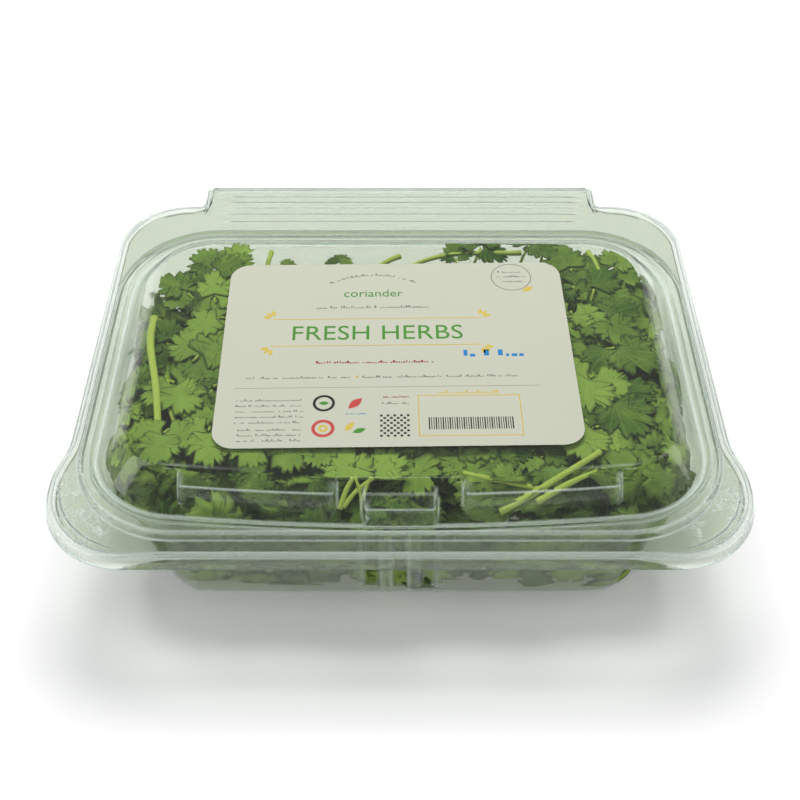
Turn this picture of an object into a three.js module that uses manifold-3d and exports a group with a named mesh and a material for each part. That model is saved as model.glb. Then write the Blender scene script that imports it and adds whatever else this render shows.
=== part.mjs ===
// Coriander sprigs packed in a clear hinged box with a paper label on its lid.
// Millimetres, +Z up. X runs along the width and -Y is the front, where the box opens.
// The origin is at the centre of the footprint, on the surface that the box stands on.
import * as THREE from "three";
import { mergeVertices } from "three/addons/utils/BufferGeometryUtils.js";
import Module from "manifold-3d";

// ---- Driving dimensions of the box ----
const SHEET = 0.6; // wall of the formed clear sheet
const GAP = 0.3; // clearance between pieces that touch
const RIM_Z = 46; // top of the tray's flange, and so the tray's height
// The lid's dome, from its foot to its top panel: how far it leans in, and its height above the
// flange. The front slope carries the snap block and the pads where shaped is true.
const DOME = [
  { lean: 0.2, up: 0.4 },
  { lean: 2.6, up: 2.6, shaped: true },
  { lean: 6.4, up: 6.2, shaped: true },
  { lean: 9.9, up: 9.8 },
  { lean: 11.5, up: 11 },
];
const OPENING = { hx: 95, front: -74, back: 56 }; // mouth of the tray
const FLOOR = { hx: 82, front: -67.5, back: 49.5 }; // flat bottom of the tray
const CORNER = { x: 67, front: -46, back: 28 }; // centres of the rounded corners
const FLANGE = { hx: 104.5, front: -87, back: 79 };
const EAR = { reach: 3.5, radius: 26, from: -58, to: -41 }; // finger ears at the front corners
const BACK_RADIUS = 24; // rear corners of the flange
const FLAP = { hx: 75.5, y: 90.5, corner: 2.5, foot: [2, 1.6] }; // rear flap that carries the fold
const LIP = { drop: 3.5, flare: 1, overlap: 0.9 }; // the lid's turned-down edge
const TRAY_SETBACK = 2.6; // the tray's flange stops this far inside the lid's
const RIDGE = { out: 6, in: 1, height: 3, slope: 0.8 }; // sealing ridge around the mouth
const LATCH = { hx: 10.7, height: 5.4, steep: 0.6 }; // snap block at the front centre
const LUG = { from: 19, to: 66.5, proud: 0.84 }; // long pads on the dome's front slope
const FLUTE = { xs: [-9.2, 0, 9.2], hx: 2.7, depth: 1.6, side: 0.6 }; // grooves in the front wall
const WALL_STEPS = [0.16, 0.5, 0.94]; // heights of the tray wall's rings, from mouth to floor
const FOOT_ROUND = 3; // rounding between the tray's wall and its floor
const HINGE = { y: 91.3, radius: 0.5 };
const LABEL = { width: 114, depth: 85, corner: 7, thick: 0.3, y: -10.8 };

// ---- Driving dimensions of the herbs ----
const STEM_RADIUS = 1.3;
const PETIOLE_RADIUS = 0.75;
const BLADE_THICK = 0.45;
const PETIOLE_OFFSET = 2.3; // from the stem's tip to the middle of a petiole's foot
const PETIOLE_BEND = { along: 0.35, up: 0.45 }; // its middle, as shares of its reach and climb
const TAIL = { back: 0.8, half: 0.6 }; // where a blade narrows into its petiole
const DEG = Math.PI / 180;

const wasm = await Module();
wasm.setup();

const finish = (color, roughness, extra = {}) =>
  new THREE.MeshStandardMaterial({ color, roughness, metalness: 0, ...extra });
const CLEAR = finish(0xd9e8dc, 0.08, { transparent: true, opacity: 0.25 });
const PAPER = finish(0xf2f1e6, 0.7);
const STEM_GREEN = finish(0x8fae3c, 0.5);
const LEAF_GREENS = [finish(0x4f7f2c, 0.55), finish(0x648f38, 0.55), finish(0x3f6f26, 0.6)];

const smooth = (t) => {
  const c = Math.min(1, Math.max(0, t));
  return c * c * (3 - 2 * c);
};

// ---- Rings: every closed outline of the box is sampled at the same stations ----
// A station is a place on the front, right, back or left run, or an angle on a corner.
const CORNER_STEPS = [0, 11, 22, 34, 45, 56, 67, 75, 80, 85, 90];
const FRONT_XS = [LUG.to, 55, 43, 31, LUG.from, LATCH.hx + 1, LATCH.hx];
const FLUTE_EDGES = [-FLUTE.hx - FLUTE.side, -FLUTE.hx, FLUTE.hx, FLUTE.hx + FLUTE.side];
const FLUTE_XS = FLUTE.xs.flatMap((x) => FLUTE_EDGES.map((edge) => x + edge));
const SIDE_YS = [-38, -20, 2, 24];
const FLAP_XS = [62, 40, 14];

function stationList() {
  const front = [...FRONT_XS.map((x) => -x), ...FLUTE_XS, ...[...FRONT_XS].reverse()];
  const unique = [...new Set(front)].sort((a, b) => a - b);
  const back = [...FLAP_XS, ...FLAP_XS.map((x) => -x)].sort((a, b) => b - a);
  return [
    ...unique.map((x) => ({ run: "front", at: x })),
    ...CORNER_STEPS.map((a) => ({ run: "corner", end: "front", side: 1, at: a })),
    ...SIDE_YS.map((y) => ({ run: "side", side: 1, at: y })),
    ...[...CORNER_STEPS].reverse().map((a) => ({ run: "corner", end: "back", side: 1, at: a })),
    ...back.map((x) => ({ run: "back", at: x })),
    ...CORNER_STEPS.map((a) => ({ run: "corner", end: "back", side: -1, at: a })),
    ...[...SIDE_YS].reverse().map((y) => ({ run: "side", side: -1, at: y })),
    ...[...CORNER_STEPS].reverse().map((a) => ({ run: "corner", end: "front", side: -1, at: a })),
  ];
}
const STATIONS = stationList();

// A rounded rectangle whose corners are centred on CORNER, so that nested ones stay parallel.
function rectRing({ hx, front, back }, z) {
  return STATIONS.map((s) => {
    if (s.run === "front") return [s.at, front, z];
    if (s.run === "back") return [s.at, back, z];
    if (s.run === "side") return [s.side * hx, s.at, z];
    const edge = s.end === "front" ? front : back;
    const along = Math.sin(s.at * DEG);
    const across = Math.cos(s.at * DEG);
    return [
      s.side * (CORNER.x + (hx - CORNER.x) * along),
      CORNER[s.end] + (edge - CORNER[s.end]) * across,
      z,
    ];
  });
}

const inset = ({ hx, front, back }, d) => ({ hx: hx - d, front: front + d, back: back - d });

// Half width of the flange at y: straight, and swelling into the finger ears at the front.
const flangeHalf = (y) => FLANGE.hx + EAR.reach * (1 - smooth((y - EAR.from) / (EAR.to - EAR.from)));

// The outer edge of the flange, with ears in front and the hinge flap behind, brought in by d.
const ARC_END = 75; // station angle at which the outer corner's arc is complete
function outerRing(z, d = 0) {
  const earX = FLANGE.hx + EAR.reach - EAR.radius;
  const earY = FLANGE.front + EAR.radius;
  const backX = FLANGE.hx - BACK_RADIUS;
  const backY = FLANGE.back - BACK_RADIUS;
  const flapSteps = [
    [FLAP.hx + FLAP.foot[0], FLANGE.back - d],
    [FLAP.hx, FLANGE.back + FLAP.foot[1]],
    [FLAP.hx, FLAP.y - FLAP.corner],
    [FLAP.hx - FLAP.corner, FLAP.y],
  ];
  return STATIONS.map((s) => {
    if (s.run === "front") return [s.at, FLANGE.front + d, z];
    if (s.run === "back") return [s.at, FLAP.y, z];
    if (s.run === "side") return [s.side * (flangeHalf(s.at) - d), s.at, z];
    const turn = Math.min(90, (s.at * 90) / ARC_END) * DEG;
    if (s.end === "front") {
      const past = Math.max(0, (s.at - ARC_END) / (90 - ARC_END));
      const y = earY - (EAR.radius - d) * Math.cos(turn) + past * (CORNER.front - earY);
      const x = past > 0 ? flangeHalf(y) - d : earX + (EAR.radius - d) * Math.sin(turn);
      return [s.side * x, y, z];
    }
    // The first four rear stations walk up the side of the flap, and the others round the corner.
    const step = CORNER_STEPS.indexOf(s.at);
    if (step < flapSteps.length) {
      const [x, y] = flapSteps[flapSteps.length - 1 - step];
      return [s.side * x, y, z];
    }
    const share = (step - flapSteps.length) / (CORNER_STEPS.length - 1 - flapSteps.length);
    const sweep = share * 90 * DEG;
    return [
      s.side * (backX + (BACK_RADIUS - d) * Math.sin(sweep)),
      backY + (BACK_RADIUS - d) * Math.cos(sweep),
      z,
    ];
  });
}

// A closed thin shell between an upper and a lower stack of rings, both from the rim inwards.
function shell(upper, lower) {
  const n = STATIONS.length;
  const rings = [...[...upper].reverse(), ...lower];
  const position = rings.flat(2);
  const middle = (ring) => [0, (CORNER.front + CORNER.back) / 2, ring[0][2]];
  position.push(...middle(upper.at(-1)), ...middle(lower.at(-1)));
  const index = [];
  for (let r = 0; r + 1 < rings.length; r++)
    for (let i = 0; i < n; i++) {
      const a = r * n + i;
      const b = r * n + ((i + 1) % n);
      index.push(a, a + n, b, b, a + n, b + n);
    }
  const top = rings.length * n;
  const last = (rings.length - 1) * n;
  for (let i = 0; i < n; i++) {
    const j = (i + 1) % n;
    index.push(top, i, j, top + 1, last + j, last + i);
  }
  const geometry = new THREE.BufferGeometry();
  geometry.setAttribute("position", new THREE.Float32BufferAttribute(position, 3));
  geometry.setIndex(index);
  return geometry;
}

// Pushes the front run of a tray ring inwards where the grooves are.
const fluted = (ring) =>
  ring.map(([x, y, z], i) => {
    const inFlute = STATIONS[i].run === "front" && FLUTE.xs.some((c) => Math.abs(x - c) <= FLUTE.hx + 0.01);
    return [x, inFlute ? y + FLUTE.depth : y, z];
  });

function traySolid() {
  const wall = (share) => ({
    hx: OPENING.hx + (FLOOR.hx - OPENING.hx) * share,
    front: OPENING.front + (FLOOR.front - OPENING.front) * share,
    back: OPENING.back + (FLOOR.back - OPENING.back) * share,
  });
  const wallZ = (share) => RIM_Z * (1 - share);
  const upper = [
    outerRing(RIM_Z, TRAY_SETBACK),
    rectRing(OPENING, RIM_Z),
    ...WALL_STEPS.map((s) => fluted(rectRing(wall(s), wallZ(s)))),
    rectRing(inset(FLOOR, FOOT_ROUND), SHEET),
  ];
  const lower = [
    outerRing(RIM_Z - SHEET, TRAY_SETBACK),
    rectRing(inset(OPENING, -SHEET), RIM_Z - SHEET),
    ...WALL_STEPS.map((s) => fluted(rectRing(inset(wall(s), -SHEET), wallZ(s) - SHEET * s))),
    rectRing(inset(FLOOR, FOOT_ROUND - SHEET), 0),
  ];
  return shell(upper, lower);
}

// The dome's slope, with the snap block and the two long pads standing proud of it in front.
function slopeRing(d, z) {
  return rectRing(inset(OPENING, d), z).map(([x, y, h], i) => {
    if (STATIONS[i].run !== "front") return [x, y, h];
    const across = Math.abs(x);
    const onLatch = across <= LATCH.hx + 0.01;
    if (onLatch) return [x, OPENING.front + d * LATCH.steep, Math.max(h, LID_Z + LATCH.height)];
    const onLug = across >= LUG.from - 0.01 && across <= LUG.to + 0.01;
    return onLug ? [x, y - LUG.proud, h + LUG.proud] : [x, y, h];
  });
}

const LID_Z = RIM_Z + GAP; // underside of the lid's flange
const DOME_HEIGHT = DOME.at(-1).up;
const SLOPE_SHIFT = 0.4; // share of the sheet's thickness that shifts a slope sideways
function lidSolid() {
  const stack = (z, sheet) => [
    outerRing(z, 0),
    rectRing(inset(OPENING, -RIDGE.out - sheet), z),
    rectRing(inset(OPENING, RIDGE.slope - RIDGE.out - sheet), z + RIDGE.height),
    rectRing(inset(OPENING, sheet - RIDGE.in), z + RIDGE.height),
    ...DOME.map(({ lean, up, shaped }) => {
      const side = up < DOME_HEIGHT ? sheet * SLOPE_SHIFT : 0;
      return shaped ? slopeRing(lean - side, z + up) : rectRing(inset(OPENING, lean - side), z + up);
    }),
  ];
  return shell(stack(LID_Z + SHEET, SHEET), stack(LID_Z, 0));
}

// The lid's turned-down edge runs round the front and sides and stops at the rear corners.
const LIP_GAP_STEPS = 5;
const lipIndex = (end, side, step) =>
  STATIONS.findIndex(
    (s) => s.run === "corner" && s.end === end && s.side === side && s.at === CORNER_STEPS[step],
  );
function lipSolid() {
  const from = lipIndex("back", -1, LIP_GAP_STEPS);
  const to = lipIndex("back", 1, LIP_GAP_STEPS);
  const n = STATIONS.length;
  const count = ((to - from + n) % n) + 1;
  const top = LID_Z + SHEET * 0.7;
  const rings = [
    outerRing(top, LIP.overlap),
    outerRing(top, LIP.overlap - 1),
    outerRing(LID_Z - LIP.drop, -LIP.flare),
    outerRing(LID_Z - LIP.drop, SHEET - LIP.flare),
  ];
  const position = [];
  for (let k = 0; k < count; k++) for (const ring of rings) position.push(...ring[(from + k) % n]);
  const index = [];
  const quad = (a, b, c, d) => index.push(a, b, c, a, c, d);
  for (let k = 0; k + 1 < count; k++)
    for (let r = 0; r < 4; r++) {
      const s = (r + 1) % 4;
      quad(k * 4 + r, k * 4 + s, k * 4 + 4 + s, k * 4 + 4 + r);
    }
  quad(3, 2, 1, 0);
  const end = (count - 1) * 4;
  quad(end, end + 1, end + 2, end + 3);
  const geometry = new THREE.BufferGeometry();
  geometry.setAttribute("position", new THREE.Float32BufferAttribute(position, 3));
  geometry.setIndex(index);
  return geometry;
}

// ---- Solids by boolean ----
function solidOf(geometry) {
  const bare = geometry.index ? geometry.toNonIndexed() : geometry.clone();
  bare.deleteAttribute("normal");
  bare.deleteAttribute("uv");
  const merged = mergeVertices(bare, 1e-3);
  const solid = new wasm.Manifold(
    new wasm.Mesh({
      numProp: 3,
      vertProperties: merged.attributes.position.array,
      triVerts: new Uint32Array(merged.index.array),
    }),
  );
  return solid;
}

function geometryOf(solid) {
  const mesh = solid.getMesh();
  const geometry = new THREE.BufferGeometry();
  geometry.setAttribute("position", new THREE.BufferAttribute(mesh.vertProperties, 3));
  geometry.setIndex(new THREE.BufferAttribute(mesh.triVerts, 1));
  return geometry.toNonIndexed();
}

// ---- Herbs ----
function tube(points, radius, sides, steps) {
  const section = new THREE.Shape(
    Array.from({ length: sides }, (_, i) => {
      const a = (2 * Math.PI * i) / sides;
      return new THREE.Vector2(radius * Math.cos(a), radius * Math.sin(a));
    }),
  );
  const path = new THREE.CatmullRomCurve3(points);
  return new THREE.ExtrudeGeometry(section, { steps, extrudePath: path });
}

// Outline of a coriander leaf blade: a fan of three lobes, each with rounded teeth.
// Its reach in the direction a is an envelope that narrows backwards, cut by two deep notches.
const FAN = 100 * DEG;
const FAN_POINTS = 22;
const NOTCH = { at: 36 * DEG, half: 11 * DEG, depth: 0.34 };
const TOOTH = 0.13; // share of the reach that every second point is cut back
function bladeShape(length) {
  const shape = new THREE.Shape();
  shape.moveTo(-TAIL.back, -TAIL.half);
  for (let k = 0; k <= FAN_POINTS; k++) {
    const a = -FAN + (2 * FAN * k) / FAN_POINTS;
    const envelope = 0.6 + 0.4 * Math.cos(a * 1.1);
    const notch = Math.max(0, 1 - Math.abs(Math.abs(a) - NOTCH.at) / NOTCH.half);
    const tooth = k % 2 ? TOOTH : 0;
    const reach = length * envelope * (1 - NOTCH.depth * notch - tooth);
    shape.lineTo(reach * Math.cos(a), reach * Math.sin(a));
  }
  shape.lineTo(-TAIL.back, TAIL.half);
  return shape;
}

// One leaf: a petiole that rises from the stem's tip and a flat blade at its head.
function leafSolid(tip, heading, reach, length, level) {
  const away = new THREE.Vector3(Math.cos(heading), Math.sin(heading), 0);
  const at = (out, z) => tip.clone().addScaledVector(away, out).setZ(z);
  const foot = at(PETIOLE_OFFSET, tip.z);
  const head = at(reach, level);
  const climb = level - tip.z;
  const stretch = reach - PETIOLE_OFFSET;
  const petiole = tube(
    [foot, at(PETIOLE_OFFSET + stretch * PETIOLE_BEND.along, tip.z + climb * PETIOLE_BEND.up), head],
    PETIOLE_RADIUS,
    5,
    3,
  );
  const blade = new THREE.ExtrudeGeometry(bladeShape(length), { depth: BLADE_THICK, bevelEnabled: false });
  blade.translate(0, 0, -BLADE_THICK / 2).rotateZ(heading).translate(head.x, head.y, head.z);
  return geometryOf(solidOf(petiole).add(solidOf(blade)));
}

// The sprigs, anticlockwise round the box from the rear left. Each stem has its own layer.
// tip: where the stem ends and its leaves start; grows: the leaves' direction; lies: the way the
// stem runs from its tip; run: its length; levels: blade heights; size: blade length; hand: -1
// mirrors the order of its leaves.
const HIGH = [55.9, 50.4, 53.3];
const LOW = [54.6, 49.0, 52.0];
const SPRIGS = [
  { tip: [-55, 28], grows: 176, lies: -22, run: 80, levels: HIGH, size: 17 },
  { tip: [-56, 3], grows: 180, lies: -8, run: 90, levels: LOW, size: 17.5 },
  { tip: [-56, -21], grows: 186, lies: 12, run: 86, levels: HIGH, size: 16 },
  { tip: [-52, -38], grows: 230, lies: 42, run: 88, levels: LOW, size: 16 },
  { tip: [-28, -40], grows: 264, lies: 72, run: 74, levels: HIGH, size: 14 },
  { tip: [-2, -41], grows: 272, lies: 98, run: 72, levels: LOW, size: 14 },
  { tip: [24, -40], grows: 276, lies: 108, run: 74, levels: HIGH, size: 14 },
  { tip: [52, -38], grows: 312, lies: 140, run: 88, levels: LOW, size: 16, hand: -1 },
  { tip: [56, -21], grows: -4, lies: 168, run: 88, levels: HIGH, size: 16, hand: -1 },
  { tip: [56, 3], grows: 1, lies: 186, run: 92, levels: LOW, size: 17, hand: -1 },
  { tip: [55, 28], grows: 4, lies: 204, run: 84, levels: HIGH, size: 17, hand: -1 },
  { tip: [-20, 2], grows: 120, lies: -58, run: 46, levels: [47.6, 45.6, 49.4], size: 19 },
  { tip: [24, -4], grows: 60, lies: 238, run: 44, levels: [50.4, 48.2, 46.6], size: 19 },
];
const LAYER = { first: 2.3, rise: 2.95 }; // heights of the stems' layers
const LEAVES = [
  { part: "a", turn: 54, reach: 9, scale: 1 },
  { part: "b", turn: 3, reach: 7.5, scale: 1 },
  { part: "c", turn: -52, reach: 9, scale: 0.7 },
];
const BOW = 5; // how far a stem bends sideways at its middle

function addSprigs(group) {
  SPRIGS.forEach((sprig, i) => {
    const name = `sprig_${String(i + 1).padStart(2, "0")}`;
    const z = LAYER.first + LAYER.rise * i;
    const tip = new THREE.Vector3(...sprig.tip, z);
    const along = new THREE.Vector3(Math.cos(sprig.lies * DEG), Math.sin(sprig.lies * DEG), 0);
    const aside = new THREE.Vector3(-along.y, along.x, 0).multiplyScalar(i % 2 ? BOW : -BOW);
    const middle = tip.clone().addScaledVector(along, sprig.run / 2).add(aside);
    const cut = tip.clone().addScaledVector(along, sprig.run);
    const stem = new THREE.Mesh(tube([tip, middle, cut], STEM_RADIUS, 7, 8), STEM_GREEN);
    stem.name = `${name}_stem`;
    group.add(stem);
    LEAVES.forEach(({ part, turn, reach, scale }, k) => {
      const heading = (sprig.grows + turn * (sprig.hand ?? 1)) * DEG;
      const solid = leafSolid(tip, heading, reach, sprig.size * scale, sprig.levels[k]);
      const leaf = new THREE.Mesh(solid, LEAF_GREENS[(i + k) % LEAF_GREENS.length]);
      leaf.name = `${name}_leaf_${part}`;
      group.add(leaf);
    });
  });
}

// ---- The box's other pieces ----
function labelSolid() {
  const hx = LABEL.width / 2 - LABEL.corner;
  const hy = LABEL.depth / 2 - LABEL.corner;
  const shape = new THREE.Shape();
  [[1, -1, -90], [1, 1, 0], [-1, 1, 90], [-1, -1, 180]].forEach(([sx, sy, a]) =>
    shape.absarc(sx * hx, sy * hy, LABEL.corner, a * DEG, (a + 90) * DEG, false),
  );
  return new THREE.ExtrudeGeometry(shape, { depth: LABEL.thick, bevelEnabled: false, curveSegments: 5 });
}

const named = (name, geometry, material) => {
  const mesh = new THREE.Mesh(geometry, material);
  mesh.name = name;
  return mesh;
};

const box = new THREE.Group();
box.add(named("base_tray", traySolid(), CLEAR));

const lid = new THREE.Group();
const lidGeometry = geometryOf(solidOf(lidSolid()).add(solidOf(lipSolid())));
lid.add(named("hinged_lid", lidGeometry, CLEAR));
const label = named("paper_label", labelSolid(), PAPER);
label.position.set(0, LABEL.y, LID_Z + SHEET + DOME_HEIGHT + GAP);
lid.add(label);

const fold = named(
  "hinge_fold",
  new THREE.CylinderGeometry(HINGE.radius, HINGE.radius, 2 * (FLAP.hx - FLAP.corner), 10),
  CLEAR,
);
fold.rotation.z = Math.PI / 2;
fold.position.set(0, HINGE.y, RIM_Z + GAP / 2);

const herbs = new THREE.Group();
addSprigs(herbs);

const coriander = new THREE.Group();
coriander.add(box, lid, fold, herbs);

export default coriander;
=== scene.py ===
"""Builds cut coriander sprigs packed in a clear hinged box with a paper label on its lid.

Every class holds its sizes in millimetres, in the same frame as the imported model: X to the right, -Y to
the front and Z up from the surface that the box stands on. They become metres when a mesh is made.
"""

import logging
import math
from dataclasses import dataclass, field
from enum import Enum

import bmesh
import bpy
import numpy as np
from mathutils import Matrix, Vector


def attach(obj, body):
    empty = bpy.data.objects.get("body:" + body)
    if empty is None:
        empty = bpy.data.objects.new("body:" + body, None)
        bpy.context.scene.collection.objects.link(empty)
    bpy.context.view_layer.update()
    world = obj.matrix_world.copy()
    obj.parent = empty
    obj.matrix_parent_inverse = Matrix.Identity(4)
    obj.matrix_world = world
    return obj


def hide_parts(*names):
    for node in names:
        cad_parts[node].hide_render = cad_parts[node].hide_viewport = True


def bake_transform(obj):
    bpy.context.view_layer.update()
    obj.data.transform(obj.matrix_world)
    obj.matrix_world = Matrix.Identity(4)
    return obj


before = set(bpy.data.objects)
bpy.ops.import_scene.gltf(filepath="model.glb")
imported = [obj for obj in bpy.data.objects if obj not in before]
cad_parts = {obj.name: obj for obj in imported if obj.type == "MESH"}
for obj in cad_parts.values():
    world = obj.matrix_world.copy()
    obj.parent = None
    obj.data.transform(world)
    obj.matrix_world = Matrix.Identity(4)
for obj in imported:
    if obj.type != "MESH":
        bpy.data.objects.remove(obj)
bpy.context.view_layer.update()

MM = 0.001
SEED = 41
CORNER_X = 67.0  # where the box's straight front and back end and its corners begin
LOG = logging.getLogger("herb_box")
Array = np.ndarray
Profile = tuple[tuple[float, float], ...]
Spot = Array | tuple[float, float, float]


# ---------------------------------------------------------------- meshes


@dataclass
class Patch:
    """A mesh as whole arrays.

    points holds the vertices in millimetres, faces a list of index arrays with three or four columns,
    uv one pair for each vertex, and tone and under one number for each vertex. A formed sheet also has
    crease, how sharply it bends at each vertex.
    """

    points: Array
    faces: list[Array]
    uv: Array
    tone: Array
    under: Array
    crease: Array | None = None

    @classmethod
    def plain(cls, points: Array, faces: list[Array]) -> "Patch":
        """A patch whose uv, tone and under are all zero."""
        count = len(points)
        return cls(points, faces, np.zeros((count, 2)), np.zeros(count), np.zeros(count))

    @classmethod
    def joined(cls, parts: list["Patch"]) -> "Patch":
        """Several patches as one, with each one's face indices moved past the points before it."""
        starts = np.cumsum([0] + [len(p.points) for p in parts])
        faces = [f + start for p, start in zip(parts, starts) for f in p.faces]
        return cls(
            np.concatenate([p.points for p in parts]),
            faces,
            np.concatenate([p.uv for p in parts]),
            np.concatenate([p.tone for p in parts]),
            np.concatenate([p.under for p in parts]),
        )


def make_piece(name: str, patch: Patch, material: bpy.types.Material) -> bpy.types.Object:
    """Puts a patch into a new smooth mesh object at the origin.

    Args:
        name: the piece's name.
        patch: its vertices, faces and per-vertex values.
        material: the finish of all its faces.

    Returns:
        The new object, linked to the scene.
    """
    mesh = bpy.data.meshes.new(name)
    sizes = np.concatenate([np.full(len(f), f.shape[1]) for f in patch.faces])
    corners = np.concatenate([f.ravel() for f in patch.faces]).astype(np.int32)
    starts = np.concatenate([[0], np.cumsum(sizes)[:-1]]).astype(np.int32)
    mesh.vertices.add(len(patch.points))
    mesh.vertices.foreach_set("co", (patch.points * MM).astype(np.float32).ravel())
    mesh.loops.add(len(corners))
    mesh.loops.foreach_set("vertex_index", corners)
    mesh.polygons.add(len(sizes))
    mesh.polygons.foreach_set("loop_start", starts)
    mesh.polygons.foreach_set("use_smooth", np.ones(len(sizes), bool))
    layer = mesh.uv_layers.new(name="shape")
    layer.data.foreach_set("uv", patch.uv[corners].astype(np.float32).ravel())
    crease = np.zeros(len(patch.points)) if patch.crease is None else patch.crease
    for label, values in (("tone", patch.tone), ("under", patch.under), ("crease", crease)):
        attribute = mesh.attributes.new(label, "FLOAT", "POINT")
        attribute.data.foreach_set("value", values.astype(np.float32))
    mesh.update(calc_edges=True)
    mesh.validate()
    mesh.materials.append(material)
    piece = bpy.data.objects.new(name, mesh)
    bpy.context.scene.collection.objects.link(piece)
    LOG.info("%s: %d faces", name, len(sizes))
    return piece


def unit(vectors: Array) -> Array:
    """Vectors scaled to length one along the last axis."""
    return vectors / np.maximum(np.linalg.norm(vectors, axis=-1, keepdims=True), 1e-9)


def ease(t: Array | float) -> Array:
    """The smooth step 3t^2 - 2t^3, held at 0 below t = 0 and at 1 above t = 1."""
    c = np.clip(t, 0.0, 1.0)
    return c * c * (3 - 2 * c)


def bump(x: Array, low: float, high: float, soft: float) -> Array:
    """1 between low and high, easing to 0 over soft on either side."""
    return ease((x - low) / soft + 0.5) * ease((high - x) / soft + 0.5)


# ---------------------------------------------------------------- outlines of the box


@dataclass(frozen=True)
class Plan:
    """A rounded rectangle seen from above: half its width, and its front and back edges."""

    half: float
    front: float
    back: float

    def inset(self, d: float) -> "Plan":
        """The same outline brought in by d on every side."""
        return Plan(self.half - d, self.front + d, self.back - d)

    def toward(self, other: "Plan", t: float) -> "Plan":
        """The outline a share t of the way to another one."""
        return Plan(
            self.half + (other.half - self.half) * t,
            self.front + (other.front - self.front) * t,
            self.back + (other.back - self.back) * t,
        )


class Run(Enum):
    """The parts of an outline, anticlockwise seen from above."""

    FRONT = 0
    FRONT_RIGHT = 1
    RIGHT = 2
    BACK_RIGHT = 3
    BACK = 4
    BACK_LEFT = 5
    LEFT = 6
    FRONT_LEFT = 7


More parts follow.
